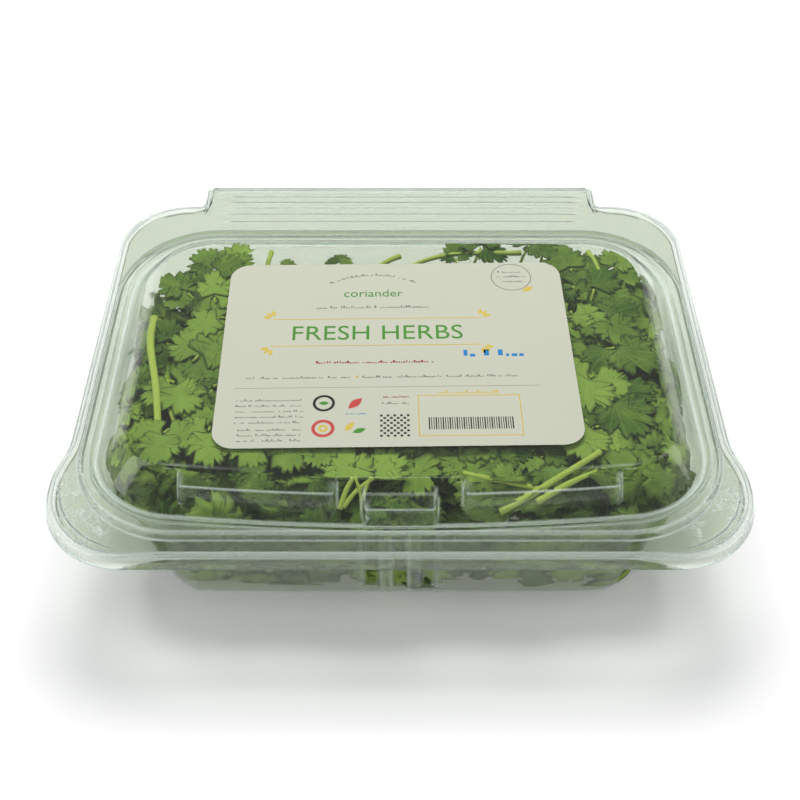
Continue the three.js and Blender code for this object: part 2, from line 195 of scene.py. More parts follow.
@dataclass
class Outline:
    """Makes closed rings of points that all share one set of stations, so that any two can be joined.

    A station is a place along a straight run, or an angle from 0 to 90 degrees round a corner.
    """

    corner_x: float = CORNER_X
    corner_front: float = -46.0
    corner_back: float = 28.0
    flange_half: float = 104.5
    flange_front: float = -87.0
    flange_back: float = 79.0
    ear_reach: float = 3.5
    ear_radius: float = 26.0
    ear_from: float = -58.0
    ear_to: float = -41.0
    back_radius: float = 24.0
    flap_half: float = 75.5
    flap_back: float = 90.5
    flap_corner: float = 2.5
    feature_edges: tuple[float, ...] = (10.7, 19.0, 66.5)
    flute_edges: tuple[float, ...] = (-12.2, -11.6, -6.5, -5.9, -3.0, -2.4, 2.4, 3.0, 5.9, 6.5, 11.6, 12.2)
    run: Array = field(init=False)
    at: Array = field(init=False)

    def __post_init__(self) -> None:
        """Lists the stations once: dense along the front, where the box has its small features."""
        edges = [s * (e + d) for e in self.feature_edges for d in (-0.9, -0.3, 0.3, 0.9) for s in (-1, 1)]
        front = np.concatenate([np.arange(-66.0, 66.5, 2.0), edges, self.flute_edges])
        front = np.unique(np.round(front[np.abs(front) <= 66.8], 2))
        front = front[np.concatenate([[True], np.diff(front) > 0.24])]
        angles = np.linspace(0.0, 90.0, 25)
        sides = np.linspace(-43.0, 25.0, 15)
        back = np.linspace(64.0, -64.0, 27)
        spans = [
            (Run.FRONT, front),
            (Run.FRONT_RIGHT, angles),
            (Run.RIGHT, sides),
            (Run.BACK_RIGHT, angles[::-1]),
            (Run.BACK, back),
            (Run.BACK_LEFT, angles),
            (Run.LEFT, sides[::-1]),
            (Run.FRONT_LEFT, angles[::-1]),
        ]
        self.run = np.concatenate([np.full(len(v), r.value) for r, v in spans])
        self.at = np.concatenate([v for _, v in spans])

    def on(self, *runs: Run) -> Array:
        """True at the stations of these runs."""
        return np.isin(self.run, [r.value for r in runs])

    @property
    def side(self) -> Array:
        """1 on the right half, -1 on the left half."""
        return np.where(self.on(Run.FRONT_RIGHT, Run.RIGHT, Run.BACK_RIGHT), 1.0, -1.0)

    def rect(self, plan: Plan, z: float | Array, flat: float = 0.0, bow: float = 0.0) -> Array:
        """A rounded rectangle whose corners are centred on this outline's corner points.

        A corner is a quarter ellipse: the centre plus the reach times sine and cosine of the station's
        angle. flat blends it with the straight line between its ends, which leaves two soft creases. The
        front edge is a parabola: front + bow (x / corner_x)^2.

        Args:
            plan: the rectangle.
            z: height of the ring, or of each station.
            flat: 0 for a round corner, towards 1 for a chamfered one.
            bow: how far the front edge's ends lie behind its middle.

        Returns:
            The ring's points, one row for each station.
        """
        angle = np.radians(self.at)
        along = (1 - flat) * np.sin(angle) + flat * self.at / 90
        across = (1 - flat) * np.cos(angle) + flat * (1 - self.at / 90)
        front_corner = self.on(Run.FRONT_RIGHT, Run.FRONT_LEFT)
        centre = np.where(front_corner, self.corner_front, self.corner_back)
        edge = np.where(front_corner, plan.front + bow, plan.back)
        corner_x = self.side * (self.corner_x + (plan.half - self.corner_x) * along)
        corner_y = centre + (edge - centre) * across
        straight = self.on(Run.FRONT, Run.BACK)
        sides = self.on(Run.LEFT, Run.RIGHT)
        x = np.where(straight, self.at, np.where(sides, self.side * plan.half, corner_x))
        front = plan.front + bow * (self.at / self.corner_x) ** 2
        y = np.where(self.on(Run.FRONT), front, np.where(self.on(Run.BACK), plan.back, corner_y))
        y = np.where(sides, self.at, y)
        return np.stack([x, y, np.broadcast_to(z, x.shape)], axis=1)

    def half_width(self, y: Array) -> Array:
        """Half the flange's width at y: straight, and swelling into the finger ears at the front."""
        share = (y - self.ear_from) / (self.ear_to - self.ear_from)
        return self.flange_half + self.ear_reach * (1 - ease(share))

    def outer(self, z: float | Array, d: float = 0.0, rear: float | None = None) -> Array:
        """The flange's outer edge, with finger ears in front and the hinge flap behind.

        The ear is a circular arc that runs into half_width. Behind, the station's angle walks round the
        flap's corner, down its side, through a small fillet and then round the rear corner's arc.

        Args:
            z: height of the ring, or of each station.
            d: how far the edge is brought in.
            rear: how far the flap's edge is brought in, if not by d.

        Returns:
            The ring's points, one row for each station.
        """
        inward = d if rear is None else rear
        turn = np.radians(np.minimum(90.0, self.at * 90 / 75))
        past = np.clip((self.at - 75) / 15, 0, 1)
        ear_x = self.flange_half + self.ear_reach - self.ear_radius
        ear_y = self.flange_front + self.ear_radius
        ear_py = ear_y - (self.ear_radius - d) * np.cos(turn) + past * (self.corner_front - ear_y)
        ear_px = np.where(past > 0, self.half_width(ear_py) - d, ear_x + (self.ear_radius - d) * np.sin(turn))
        # Shares of a rear station's angle: the flap's corner ends at 0.14, its side at 0.2 and the fillet
        # at 0.32, and the rear corner's arc starts at 0.36.
        u = self.at / 90
        k = self.flap_corner
        flap_turn = np.radians(90) * np.clip(u / 0.14, 0, 1)
        cut = np.radians(90) * np.clip((u - 0.2) / 0.12, 0, 1)
        round_turn = np.radians(90) * np.clip((u - 0.36) / 0.64, 0, 1)
        back_x = self.flange_half - self.back_radius
        back_y = self.flange_back - self.back_radius
        flap_side = self.flap_back - k - self.flange_back - 2
        steps = [u < 0.14, u < 0.2, u < 0.32, u >= 0.32]
        rear_px = np.select(
            steps,
            [
                self.flap_half - k + (k - inward) * np.sin(flap_turn),
                self.flap_half - inward + 0 * u,
                self.flap_half - inward * np.cos(cut) + 2.0 * (1 - np.cos(cut)),
                back_x + (self.back_radius - d) * np.sin(round_turn),
            ],
        )
        rear_py = np.select(
            steps,
            [
                self.flap_back - k + (k - inward) * np.cos(flap_turn),
                self.flap_back - k - flap_side * np.clip((u - 0.14) / 0.06, 0, 1),
                self.flange_back - d + (2.0 + d) * (1 - np.sin(cut)),
                back_y + (self.back_radius - d) * np.cos(round_turn),
            ],
        )
        front_corner = self.on(Run.FRONT_RIGHT, Run.FRONT_LEFT)
        corner_x = self.side * np.where(front_corner, ear_px, rear_px)
        corner_y = np.where(front_corner, ear_py, rear_py)
        sides = self.on(Run.LEFT, Run.RIGHT)
        straight = self.on(Run.FRONT, Run.BACK)
        x = np.where(straight, self.at, np.where(sides, self.side * (self.half_width(self.at) - d), corner_x))
        back = self.flap_back - inward
        y = np.where(self.on(Run.FRONT), self.flange_front + d, np.where(self.on(Run.BACK), back, corner_y))
        y = np.where(sides, self.at, y)
        return np.stack([x, y, np.broadcast_to(z, x.shape)], axis=1)


@dataclass
class Stack:
    """A stack of rings from the rim of a formed sheet to its middle, with a bend radius at each."""

    rings: list[Array] = field(default_factory=list)
    radii: list[float] = field(default_factory=list)

    def add(self, ring: Array, radius: float = 0.0) -> None:
        """Adds the next ring inwards, where the sheet bends with about this radius."""
        self.rings.append(ring)
        self.radii.append(radius)

    def rounded(self, steps: int = 4) -> Array:
        """Rounds every bend, for all stations at once.

        At a ring B between A and C the bend is the curve (1-t)^2 P + 2t(1-t) B + t^2 Q, where P and Q lie
        a radius from B towards A and C, but no further than 0.47 of the way.

        Args:
            steps: spans along each bend.

        Returns:
            All rings as one array: ring, station, coordinate.
        """
        rings, out = self.rings, [self.rings[0]]
        for k in range(1, len(rings) - 1):
            here, before, after = rings[k], rings[k - 1], rings[k + 1]
            if self.radii[k] <= 0:
                out.append(here)
                continue
            reach = [
                np.minimum(self.radii[k] / np.maximum(np.linalg.norm(o - here, axis=1), 1e-6), 0.47)[:, None]
                for o in (before, after)
            ]
            start = here + (before - here) * reach[0]
            end = here + (after - here) * reach[1]
            for t in np.linspace(0, 1, steps + 1):
                out.append((1 - t) ** 2 * start + 2 * t * (1 - t) * here + t**2 * end)
        out.append(rings[-1])
        return np.stack(out)


def sharpness(grid: Array) -> Array:
    """0 where a grid of rings is flat or gently bent, and 1 at its tight bends.

    The bend is the angle between the steps to and from a point over their mean length, in radians per
    millimetre, and the sharper of the bends along and across the rings counts. It is 0 below 0.35 and
    eases to 1 at 1.1.
    """
    bend = np.zeros(grid.shape[:2])
    for axis in (0, 1):
        before, after = grid - np.roll(grid, 1, axis), np.roll(grid, -1, axis) - grid
        step = (np.linalg.norm(before, axis=2) + np.linalg.norm(after, axis=2)) / 2
        turn = np.arccos(np.clip((unit(before) * unit(after)).sum(axis=2), -1, 1))
        bend = np.maximum(bend, np.where(step > 0.06, turn / np.maximum(step, 0.06), 0))
    # np.roll wraps round at the rim, and the rings near the middle lie in the flat panel.
    bend[:1] = bend[-6:] = 0
    return ease((bend - 0.35) / 0.75)


def sheet_patch(grid: Array, thick: float) -> Patch:
    """A closed sheet under a stack of rings.

    The upper face is the grid with a centre point. The lower face is the grid moved by the thickness
    against its normal, the cross product of the steps along and across the rings. The rims are joined.

    Args:
        grid: rings from the rim to the middle, as ring, station, coordinate.
        thick: the sheet's thickness.

    Returns:
        The closed patch, with u along the ring and v across the stack.
    """
    rings, stations = grid.shape[:2]
    along = np.roll(grid, -1, axis=1) - np.roll(grid, 1, axis=1)
    normal = unit(np.cross(along, np.gradient(grid, axis=0)))
    lower = grid - normal * thick
    middle = grid[-1].mean(axis=0)
    points = np.concatenate([grid.reshape(-1, 3), lower.reshape(-1, 3), [middle, middle - [0, 0, thick]]])
    r, s = np.meshgrid(np.arange(rings - 1), np.arange(stations), indexing="ij")
    t = (s + 1) % stations
    quads = np.stack([r * stations + s, r * stations + t, (r + 1) * stations + t, (r + 1) * stations + s], -1)
    quads = quads.reshape(-1, 4)
    size = rings * stations
    i = np.arange(stations)
    j = (i + 1) % stations
    last = (rings - 1) * stations
    caps = [
        np.stack([last + i, last + j, np.full(stations, 2 * size)], 1),
        np.stack([size + last + j, size + last + i, np.full(stations, 2 * size + 1)], 1),
    ]
    rim = np.stack([j, i, size + i, size + j], 1)
    patch = Patch.plain(points, [quads, quads[:, ::-1] + size, rim, *caps])
    flow = np.stack(np.meshgrid(np.linspace(0, 1, rings), np.linspace(0, 1, stations), indexing="ij"), -1)
    patch.uv[:size] = patch.uv[size : 2 * size] = flow.reshape(-1, 2)
    crease = sharpness(grid).ravel()
    patch.crease = np.concatenate([crease, crease, [0, 0]])
    return patch


# ---------------------------------------------------------------- shader building


class Nodes:
    """A thin helper for building one node tree."""

    def __init__(self, tree: bpy.types.NodeTree) -> None:
        """Keeps the tree and clears it."""
        self.tree = tree
        tree.nodes.clear()

    def new(self, kind: str, **settings: object) -> bpy.types.Node:
        """A node of this kind, with its properties set."""
        node = self.tree.nodes.new(kind)
        for key, value in settings.items():
            setattr(node, key, value)
        return node

    def put(self, socket: bpy.types.NodeSocket, value: object) -> None:
        """Links an output to an input, or sets the input's own value."""
        if isinstance(value, bpy.types.NodeSocket):
            self.tree.links.new(value, socket)
        else:
            socket.default_value = value

    def math(self, operation: str, *values: object) -> bpy.types.NodeSocket:
        """The result of a Math node."""
        node = self.new("ShaderNodeMath", operation=operation)
        for socket, value in zip(node.inputs, values):
            self.put(socket, value)
        return node.outputs[0]

    def noise(
        self, vector: object, scale: float, detail: float = 3.0, rough: float = 0.5
    ) -> bpy.types.NodeSocket:
        """A noise texture's factor."""
        node = self.new("ShaderNodeTexNoise")
        self.put(node.inputs["Vector"], vector)
        node.inputs["Scale"].default_value = scale
        node.inputs["Detail"].default_value = detail
        node.inputs["Roughness"].default_value = rough
        return node.outputs["Fac"]

    def between(
        self, value: object, low: float, high: float, to_low: float = 0.0, to_high: float = 1.0
    ) -> bpy.types.NodeSocket:
        """A value mapped smoothly from one range to another."""
        node = self.new("ShaderNodeMapRange", interpolation_type="SMOOTHSTEP")
        keys = ("Value", "From Min", "From Max", "To Min", "To Max")
        for key, item in zip(keys, (value, low, high, to_low, to_high)):
            self.put(node.inputs[key], item)
        return node.outputs[0]

    def mix(self, factor: object, a: object, b: object) -> bpy.types.NodeSocket:
        """Two colours mixed by a factor."""
        node = self.new("ShaderNodeMix", data_type="RGBA")
        self.put(node.inputs[0], factor)
        self.put(node.inputs[6], a)
        self.put(node.inputs[7], b)
        return node.outputs[2]

    def scaled(self, vector: object, scale: tuple[float, float, float]) -> bpy.types.NodeSocket:
        """A vector stretched along its axes by a Mapping node."""
        node = self.new("ShaderNodeMapping")
        self.put(node.inputs["Vector"], vector)
        node.inputs["Scale"].default_value = scale
        return node.outputs[0]

    def attribute(self, name: str) -> bpy.types.NodeSocket:
        """A mesh attribute's value."""
        return self.new("ShaderNodeAttribute", attribute_name=name).outputs["Fac"]

    def surface(self, shader: bpy.types.Node) -> None:
        """Makes a shader the material's surface."""
        self.put(self.new("ShaderNodeOutputMaterial").inputs[0], shader.outputs[0])

    def relief(self, height: object, strength: float, distance: float) -> bpy.types.NodeSocket:
        """The normal of a bump."""
        node = self.new("ShaderNodeBump")
        node.inputs["Strength"].default_value = strength
        node.inputs["Distance"].default_value = distance
        self.put(node.inputs["Height"], height)
        return node.outputs[0]


def shader_group(name: str, inputs: dict[str, tuple[str, object]], outputs: dict[str, str]) -> tuple:
    """A new shader node group with named sockets.

    Args:
        name: the group's name.
        inputs: each input's socket type and default value.
        outputs: each output's socket type.

    Returns:
        The group, a Nodes helper for it, its Group Input node and its Group Output node.
    """
    tree = bpy.data.node_groups.new(name, "ShaderNodeTree")
    nodes = Nodes(tree)
    for key, (kind, value) in inputs.items():
        tree.interface.new_socket(key, in_out="INPUT", socket_type=kind).default_value = value
    for key, kind in outputs.items():
        tree.interface.new_socket(key, in_out="OUTPUT", socket_type=kind)
    return tree, nodes, nodes.new("NodeGroupInput"), nodes.new("NodeGroupOutput")


def place_group(nodes: Nodes, tree: bpy.types.NodeTree, **values: object) -> bpy.types.Node:
    """A group node in a material, with its own input values."""
    node = nodes.new("ShaderNodeGroup", node_tree=tree)
    for key, value in values.items():
        nodes.put(node.inputs[key.replace("_", " ").title()], value)
    return node


def new_material(name: str) -> tuple[bpy.types.Material, Nodes]:
    """An empty material and a Nodes helper for its tree."""
    mat = bpy.data.materials.new(name)
    mat.use_nodes = True
    return mat, Nodes(mat.node_tree)


def scuffs_and_highlight_group() -> bpy.types.NodeTree:
    """Wear on formed sheet: rough patches, fine scratches and a shallow orange-peel height."""
    tree, nodes, source, sink = shader_group(
        "sheet_scuffs_and_highlights",
        {
            "Vector": ("NodeSocketVector", (0, 0, 0)),
            "Base Roughness": ("NodeSocketFloat", 0.05),
            "Crinkle": ("NodeSocketFloat", 0.0),
        },
        {"Roughness": "NodeSocketFloat", "Height": "NodeSocketFloat", "Streaks": "NodeSocketFloat"},
    )
    at = source.outputs["Vector"]
    patches = nodes.between(nodes.noise(at, 45.0, 4.0), 0.52, 0.7)
    fine = nodes.between(nodes.noise(nodes.scaled(at, (1.0, 0.16, 1.0)), 620.0, 2.0), 0.6, 0.72)
    wear = nodes.math("MULTIPLY_ADD", fine, 0.08, nodes.math("MULTIPLY", patches, 0.05))
    waves = nodes.noise(at, 70.0, 1.5)
    peel = nodes.noise(at, 420.0, 1.0)
    folds = nodes.new("ShaderNodeTexVoronoi", feature="DISTANCE_TO_EDGE")
    bent = nodes.new("ShaderNodeVectorMath", operation="MULTIPLY_ADD")
    wander = nodes.new("ShaderNodeTexNoise")
    nodes.put(wander.inputs["Vector"], at)
    wander.inputs["Scale"].default_value = 300.0
    nodes.put(bent.inputs[0], wander.outputs["Color"])
    bent.inputs[1].default_value = (0.004, 0.004, 0.004)
    nodes.put(bent.inputs[2], at)
    nodes.put(folds.inputs["Vector"], bent.outputs[0])
    folds.inputs["Scale"].default_value = 330.0
    sharp = nodes.between(folds.outputs["Distance"], 0.0, 0.25)
    creased = nodes.math("MULTIPLY", nodes.math("MULTIPLY", sharp, source.outputs["Crinkle"]), 0.3)
    # Streaks: thin lines along the crinkles' folds. They roughen the sheet, and the clear sheet also paints
    # them pale as a painted highlight, partly standing for stress-whitening.
    line = nodes.between(folds.outputs["Distance"], 0.02, 0.09, 1.0, 0.0)
    thin = nodes.math("MULTIPLY", line, source.outputs["Crinkle"])
    streaks = nodes.math("MULTIPLY", thin, nodes.between(nodes.noise(at, 160.0, 2.0), 0.44, 0.58))
    nodes.put(sink.inputs["Streaks"], streaks)
    rough = nodes.math("ADD", source.outputs["Base Roughness"], wear)
    nodes.put(sink.inputs["Roughness"], nodes.math("MULTIPLY_ADD", streaks, 0.5, rough))
    height = nodes.math("MULTIPLY_ADD", peel, 0.12, waves)
    nodes.put(sink.inputs["Height"], nodes.math("ADD", height, creased))
    return tree


def mottle_group() -> bpy.types.NodeTree:
    """Uneven growth of a plant's skin: two sizes of blotches and a fine cell pattern."""
    tree, nodes, source, sink = shader_group(
        "plant_mottle",
        {"Vector": ("NodeSocketVector", (0, 0, 0)), "Blotch Size": ("NodeSocketFloat", 90.0)},
        {"Blotches": "NodeSocketFloat", "Cells": "NodeSocketFloat"},
    )
    at = source.outputs["Vector"]
    broad = nodes.new("ShaderNodeTexNoise")
    nodes.put(broad.inputs["Vector"], at)
    nodes.put(broad.inputs["Scale"], source.outputs["Blotch Size"])
    broad.inputs["Detail"].default_value = 4.0
    nodes.put(sink.inputs["Blotches"], broad.outputs["Fac"])
    cells = nodes.new("ShaderNodeTexVoronoi", feature="DISTANCE_TO_EDGE")
    nodes.put(cells.inputs["Vector"], at)
    cells.inputs["Scale"].default_value = 900.0
    nodes.put(sink.inputs["Cells"], nodes.between(cells.outputs["Distance"], 0.0, 0.18))
    return tree


# ---------------------------------------------------------------- finishes


@dataclass(frozen=True)
class ClearSheet:
    """Thin formed clear plastic: tinted glassy sheet that lets lamps through.

    tint and rim colour the sheet seen face on and edge on. passes and rim_passes are the shares of a
    lamp's light that come through it and through its flange. bend_highlight is how strongly a tight bend
    is painted pale: a painted highlight, which also stands in part for stress-whitening.
    """

    name: str
    tint: tuple[float, float, float] = (0.83, 0.875, 0.79)
    rim: tuple[float, float, float] = (0.42, 0.66, 0.6)
    passes: tuple[float, float, float] = (0.935, 0.95, 0.925)
    rim_passes: tuple[float, float, float] = (0.68, 0.69, 0.69)
    clear: float = 0.985
    roughness: float = 0.02
    relief: float = 0.12
    bend_highlight: float = 0.6

    def material(self, scuffs_and_highlights: bpy.types.NodeTree) -> bpy.types.Material:
        """Builds the material.

        Args:
            scuffs_and_highlights: the group that gives roughness, height and painted highlight streaks.

        Returns:
            A Principled glass mixed with a plain Transparent shader for rays from lamps.
        """
        mat, nodes = new_material(self.name)
        where = nodes.new("ShaderNodeTexCoord").outputs["Object"]
        crinkle = nodes.attribute("tone")
        wear = place_group(nodes, scuffs_and_highlights, vector=where, base_roughness=self.roughness, crinkle=crinkle)
        glass = nodes.new("ShaderNodeBsdfPrincipled")
        facing = nodes.new("ShaderNodeLayerWeight")
        facing.inputs["Blend"].default_value = 0.4
        steep = nodes.between(facing.outputs["Facing"], 0.5, 0.95, 0.0, 0.8)
        colour = nodes.mix(steep, (*self.tint, 1), (*self.rim, 1))
        crease = nodes.attribute("crease")
        # Painted highlight: at tight bends and along the crinkle streaks the base colour goes pale and a pale
        # teal sheen is added. In part it also stands for the sheet's stress-whitening.
        highlight_and_whitening = nodes.math("MAXIMUM", nodes.math("MULTIPLY", crease, self.bend_highlight), wear.outputs["Streaks"])
        nodes.put(glass.inputs["Base Color"], nodes.mix(highlight_and_whitening, colour, (1, 1, 1, 1)))
        glass.inputs["Sheen Weight"].default_value = 1.0
        glass.inputs["Sheen Roughness"].default_value = 1.0
        nodes.put(glass.inputs["Sheen Tint"], nodes.mix(highlight_and_whitening, (0, 0, 0, 1), (0.88, 1.0, 0.93, 1)))
        glass.inputs["Transmission Weight"].default_value = self.clear
        glass.inputs["IOR"].default_value = 1.45
        nodes.put(glass.inputs["Roughness"], wear.outputs["Roughness"])
        nodes.put(glass.inputs["Normal"], nodes.relief(wear.outputs["Height"], self.relief, 0.0012))
        through = nodes.new("ShaderNodeBsdfTransparent")
        flange = nodes.attribute("under")
        nodes.put(through.inputs[0], nodes.mix(flange, (*self.passes, 1), (*self.rim_passes, 1)))
        path = nodes.new("ShaderNodeLightPath")
        mix = nodes.new("ShaderNodeMixShader")
        to_lamp = nodes.math("MAXIMUM", path.outputs["Is Shadow Ray"], path.outputs["Is Diffuse Ray"])
        nodes.put(mix.inputs[0], to_lamp)
        nodes.put(mix.inputs[1], glass.outputs[0])
        nodes.put(mix.inputs[2], through.outputs[0])
        nodes.surface(mix)
        return mat


@dataclass(frozen=True)
class LeafFinish:
    """Coriander leaf: veined, mottled and a little see-through, with a paler underside."""

    name: str
    deep: tuple[float, float, float] = (0.04, 0.125, 0.012)
    fresh: tuple[float, float, float] = (0.42, 0.62, 0.11)
    vein: tuple[float, float, float] = (0.42, 0.58, 0.16)
    pale: tuple[float, float, float] = (0.34, 0.46, 0.18)
    glow: float = 0.28

    def material(self, mottle: bpy.types.NodeTree) -> bpy.types.Material:
        """Builds the material.

        The veins fan out from the leaflet's foot: with r and a the distance and angle in the piece's own
        map, a vein lies where sin(8a) is zero, and its half width is compared with r |sin(8a)| / 8.

        Args:
            mottle: the group that gives blotches and cells.

        Returns:
            A Principled shader mixed with a Translucent one.
        """
        mat, nodes = new_material(self.name)
        coordinates = nodes.new("ShaderNodeTexCoord")
        skin = place_group(nodes, mottle, vector=coordinates.outputs["Object"], blotch_size=110.0)
        split = nodes.new("ShaderNodeSeparateXYZ")
        nodes.put(split.inputs[0], coordinates.outputs["UV"])
        angle = nodes.math("ARCTAN2", split.outputs[1], split.outputs[0])
        reach = nodes.new("ShaderNodeVectorMath", operation="LENGTH")
        nodes.put(reach.inputs[0], coordinates.outputs["UV"])
        swing = nodes.math("ABSOLUTE", nodes.math("SINE", nodes.math("MULTIPLY", angle, 8.0)))
        away = nodes.math("MULTIPLY", nodes.math("MULTIPLY", swing, 0.125), reach.outputs["Value"])
        vein = nodes.between(away, 0.004, 0.02, 1.0, 0.0)
        tone = nodes.attribute("tone")
        under = nodes.attribute("under")
        mixed = nodes.math("MULTIPLY_ADD", skin.outputs["Blotches"], 0.9, nodes.math("SUBTRACT", tone, 0.45))
        colour = nodes.mix(nodes.between(mixed, 0.0, 1.0), (*self.deep, 1), (*self.fresh, 1))
        colour = nodes.mix(nodes.math("MULTIPLY", vein, 0.3), colour, (*self.vein, 1))
        colour = nodes.mix(nodes.math("MULTIPLY", under, 0.35), colour, (*self.pale, 1))
        height = nodes.math("MULTIPLY_ADD", vein, -1.0, nodes.math("MULTIPLY", skin.outputs["Cells"], 0.5))
        normal = nodes.relief(height, 0.5, 0.00025)
        blade = nodes.new("ShaderNodeBsdfPrincipled")
        nodes.put(blade.inputs["Base Color"], colour)
        nodes.put(blade.inputs["Roughness"], nodes.between(skin.outputs["Blotches"], 0.3, 0.7, 0.42, 0.58))
        nodes.put(blade.inputs["Normal"], normal)
        blade.inputs["Specular IOR Level"].default_value = 0.4
        glow = nodes.new("ShaderNodeBsdfTranslucent")
        nodes.put(glow.inputs["Color"], colour)
        mix = nodes.new("ShaderNodeMixShader")
        mix.inputs[0].default_value = self.glow
        nodes.put(mix.inputs[1], blade.outputs[0])
        nodes.put(mix.inputs[2], glow.outputs[0])
        nodes.surface(mix)
        return mat


@dataclass(frozen=True)
class StemFinish:
    """Juicy pale stem: fibres along its length, greener patches and a soft gloss."""

    name: str
    pale: tuple[float, float, float] = (0.56, 0.68, 0.13)
    green: tuple[float, float, float] = (0.22, 0.38, 0.06)

    def material(self, mottle: bpy.types.NodeTree) -> bpy.types.Material:
        """Builds the material from the shared mottle and the piece's own map, u round and v along."""
        mat, nodes = new_material(self.name)
        coordinates = nodes.new("ShaderNodeTexCoord")
        skin = place_group(nodes, mottle, vector=coordinates.outputs["Object"], blotch_size=60.0)
        fibres = nodes.noise(nodes.scaled(coordinates.outputs["UV"], (26.0, 0.35, 1.0)), 1.0, 2.0)
        tone = nodes.attribute("tone")
        share = nodes.math("MULTIPLY_ADD", skin.outputs["Blotches"], 0.6, nodes.math("SUBTRACT", tone, 0.3))
        colour = nodes.mix(nodes.between(share, 0.0, 1.0), (*self.green, 1), (*self.pale, 1))
        colour = nodes.mix(nodes.between(fibres, 0.35, 0.65, 0.0, 0.25), colour, (*self.green, 1))
        stem = nodes.new("ShaderNodeBsdfPrincipled")
        nodes.put(stem.inputs["Base Color"], colour)
        nodes.put(stem.inputs["Roughness"], nodes.between(fibres, 0.2, 0.8, 0.3, 0.45))
        nodes.put(stem.inputs["Normal"], nodes.relief(fibres, 0.35, 0.0003))
        stem.inputs["Subsurface Weight"].default_value = 0.15
        stem.inputs["Subsurface Radius"].default_value = (0.001, 0.002, 0.0006)
        stem.inputs["Subsurface Scale"].default_value = 1.0
        nodes.surface(stem)
        return mat


@dataclass(frozen=True)
class PaperFinish:
    """Coated paper or a print on it: a faint fibre relief and slight unevenness."""

    name: str
    colour: tuple[float, float, float]
    roughness: float = 0.55
    uneven: float = 0.04

    def material(self) -> bpy.types.Material:
        """Builds the material on the piece's Object coordinates."""
        mat, nodes = new_material(self.name)
        where = nodes.new("ShaderNodeTexCoord").outputs["Object"]
        fibres = nodes.noise(nodes.scaled(where, (1.0, 1.6, 1.0)), 1500.0, 3.0, 0.6)
        clouds = nodes.noise(where, 30.0, 2.0)
        darker = tuple(c * (1 - 2 * self.uneven) for c in self.colour)
        spread = nodes.math("MULTIPLY_ADD", fibres, 0.4, nodes.math("MULTIPLY", clouds, 0.6))
        paper = nodes.new("ShaderNodeBsdfPrincipled")
        nodes.put(paper.inputs["Base Color"], nodes.mix(spread, (*self.colour, 1), (*darker, 1)))
        rough = nodes.between(fibres, 0.3, 0.7, self.roughness, self.roughness + 0.1)
        nodes.put(paper.inputs["Roughness"], rough)
        nodes.put(paper.inputs["Normal"], nodes.relief(fibres, 0.12, 0.0001))
        nodes.surface(paper)
        return mat


# ---------------------------------------------------------------- the box


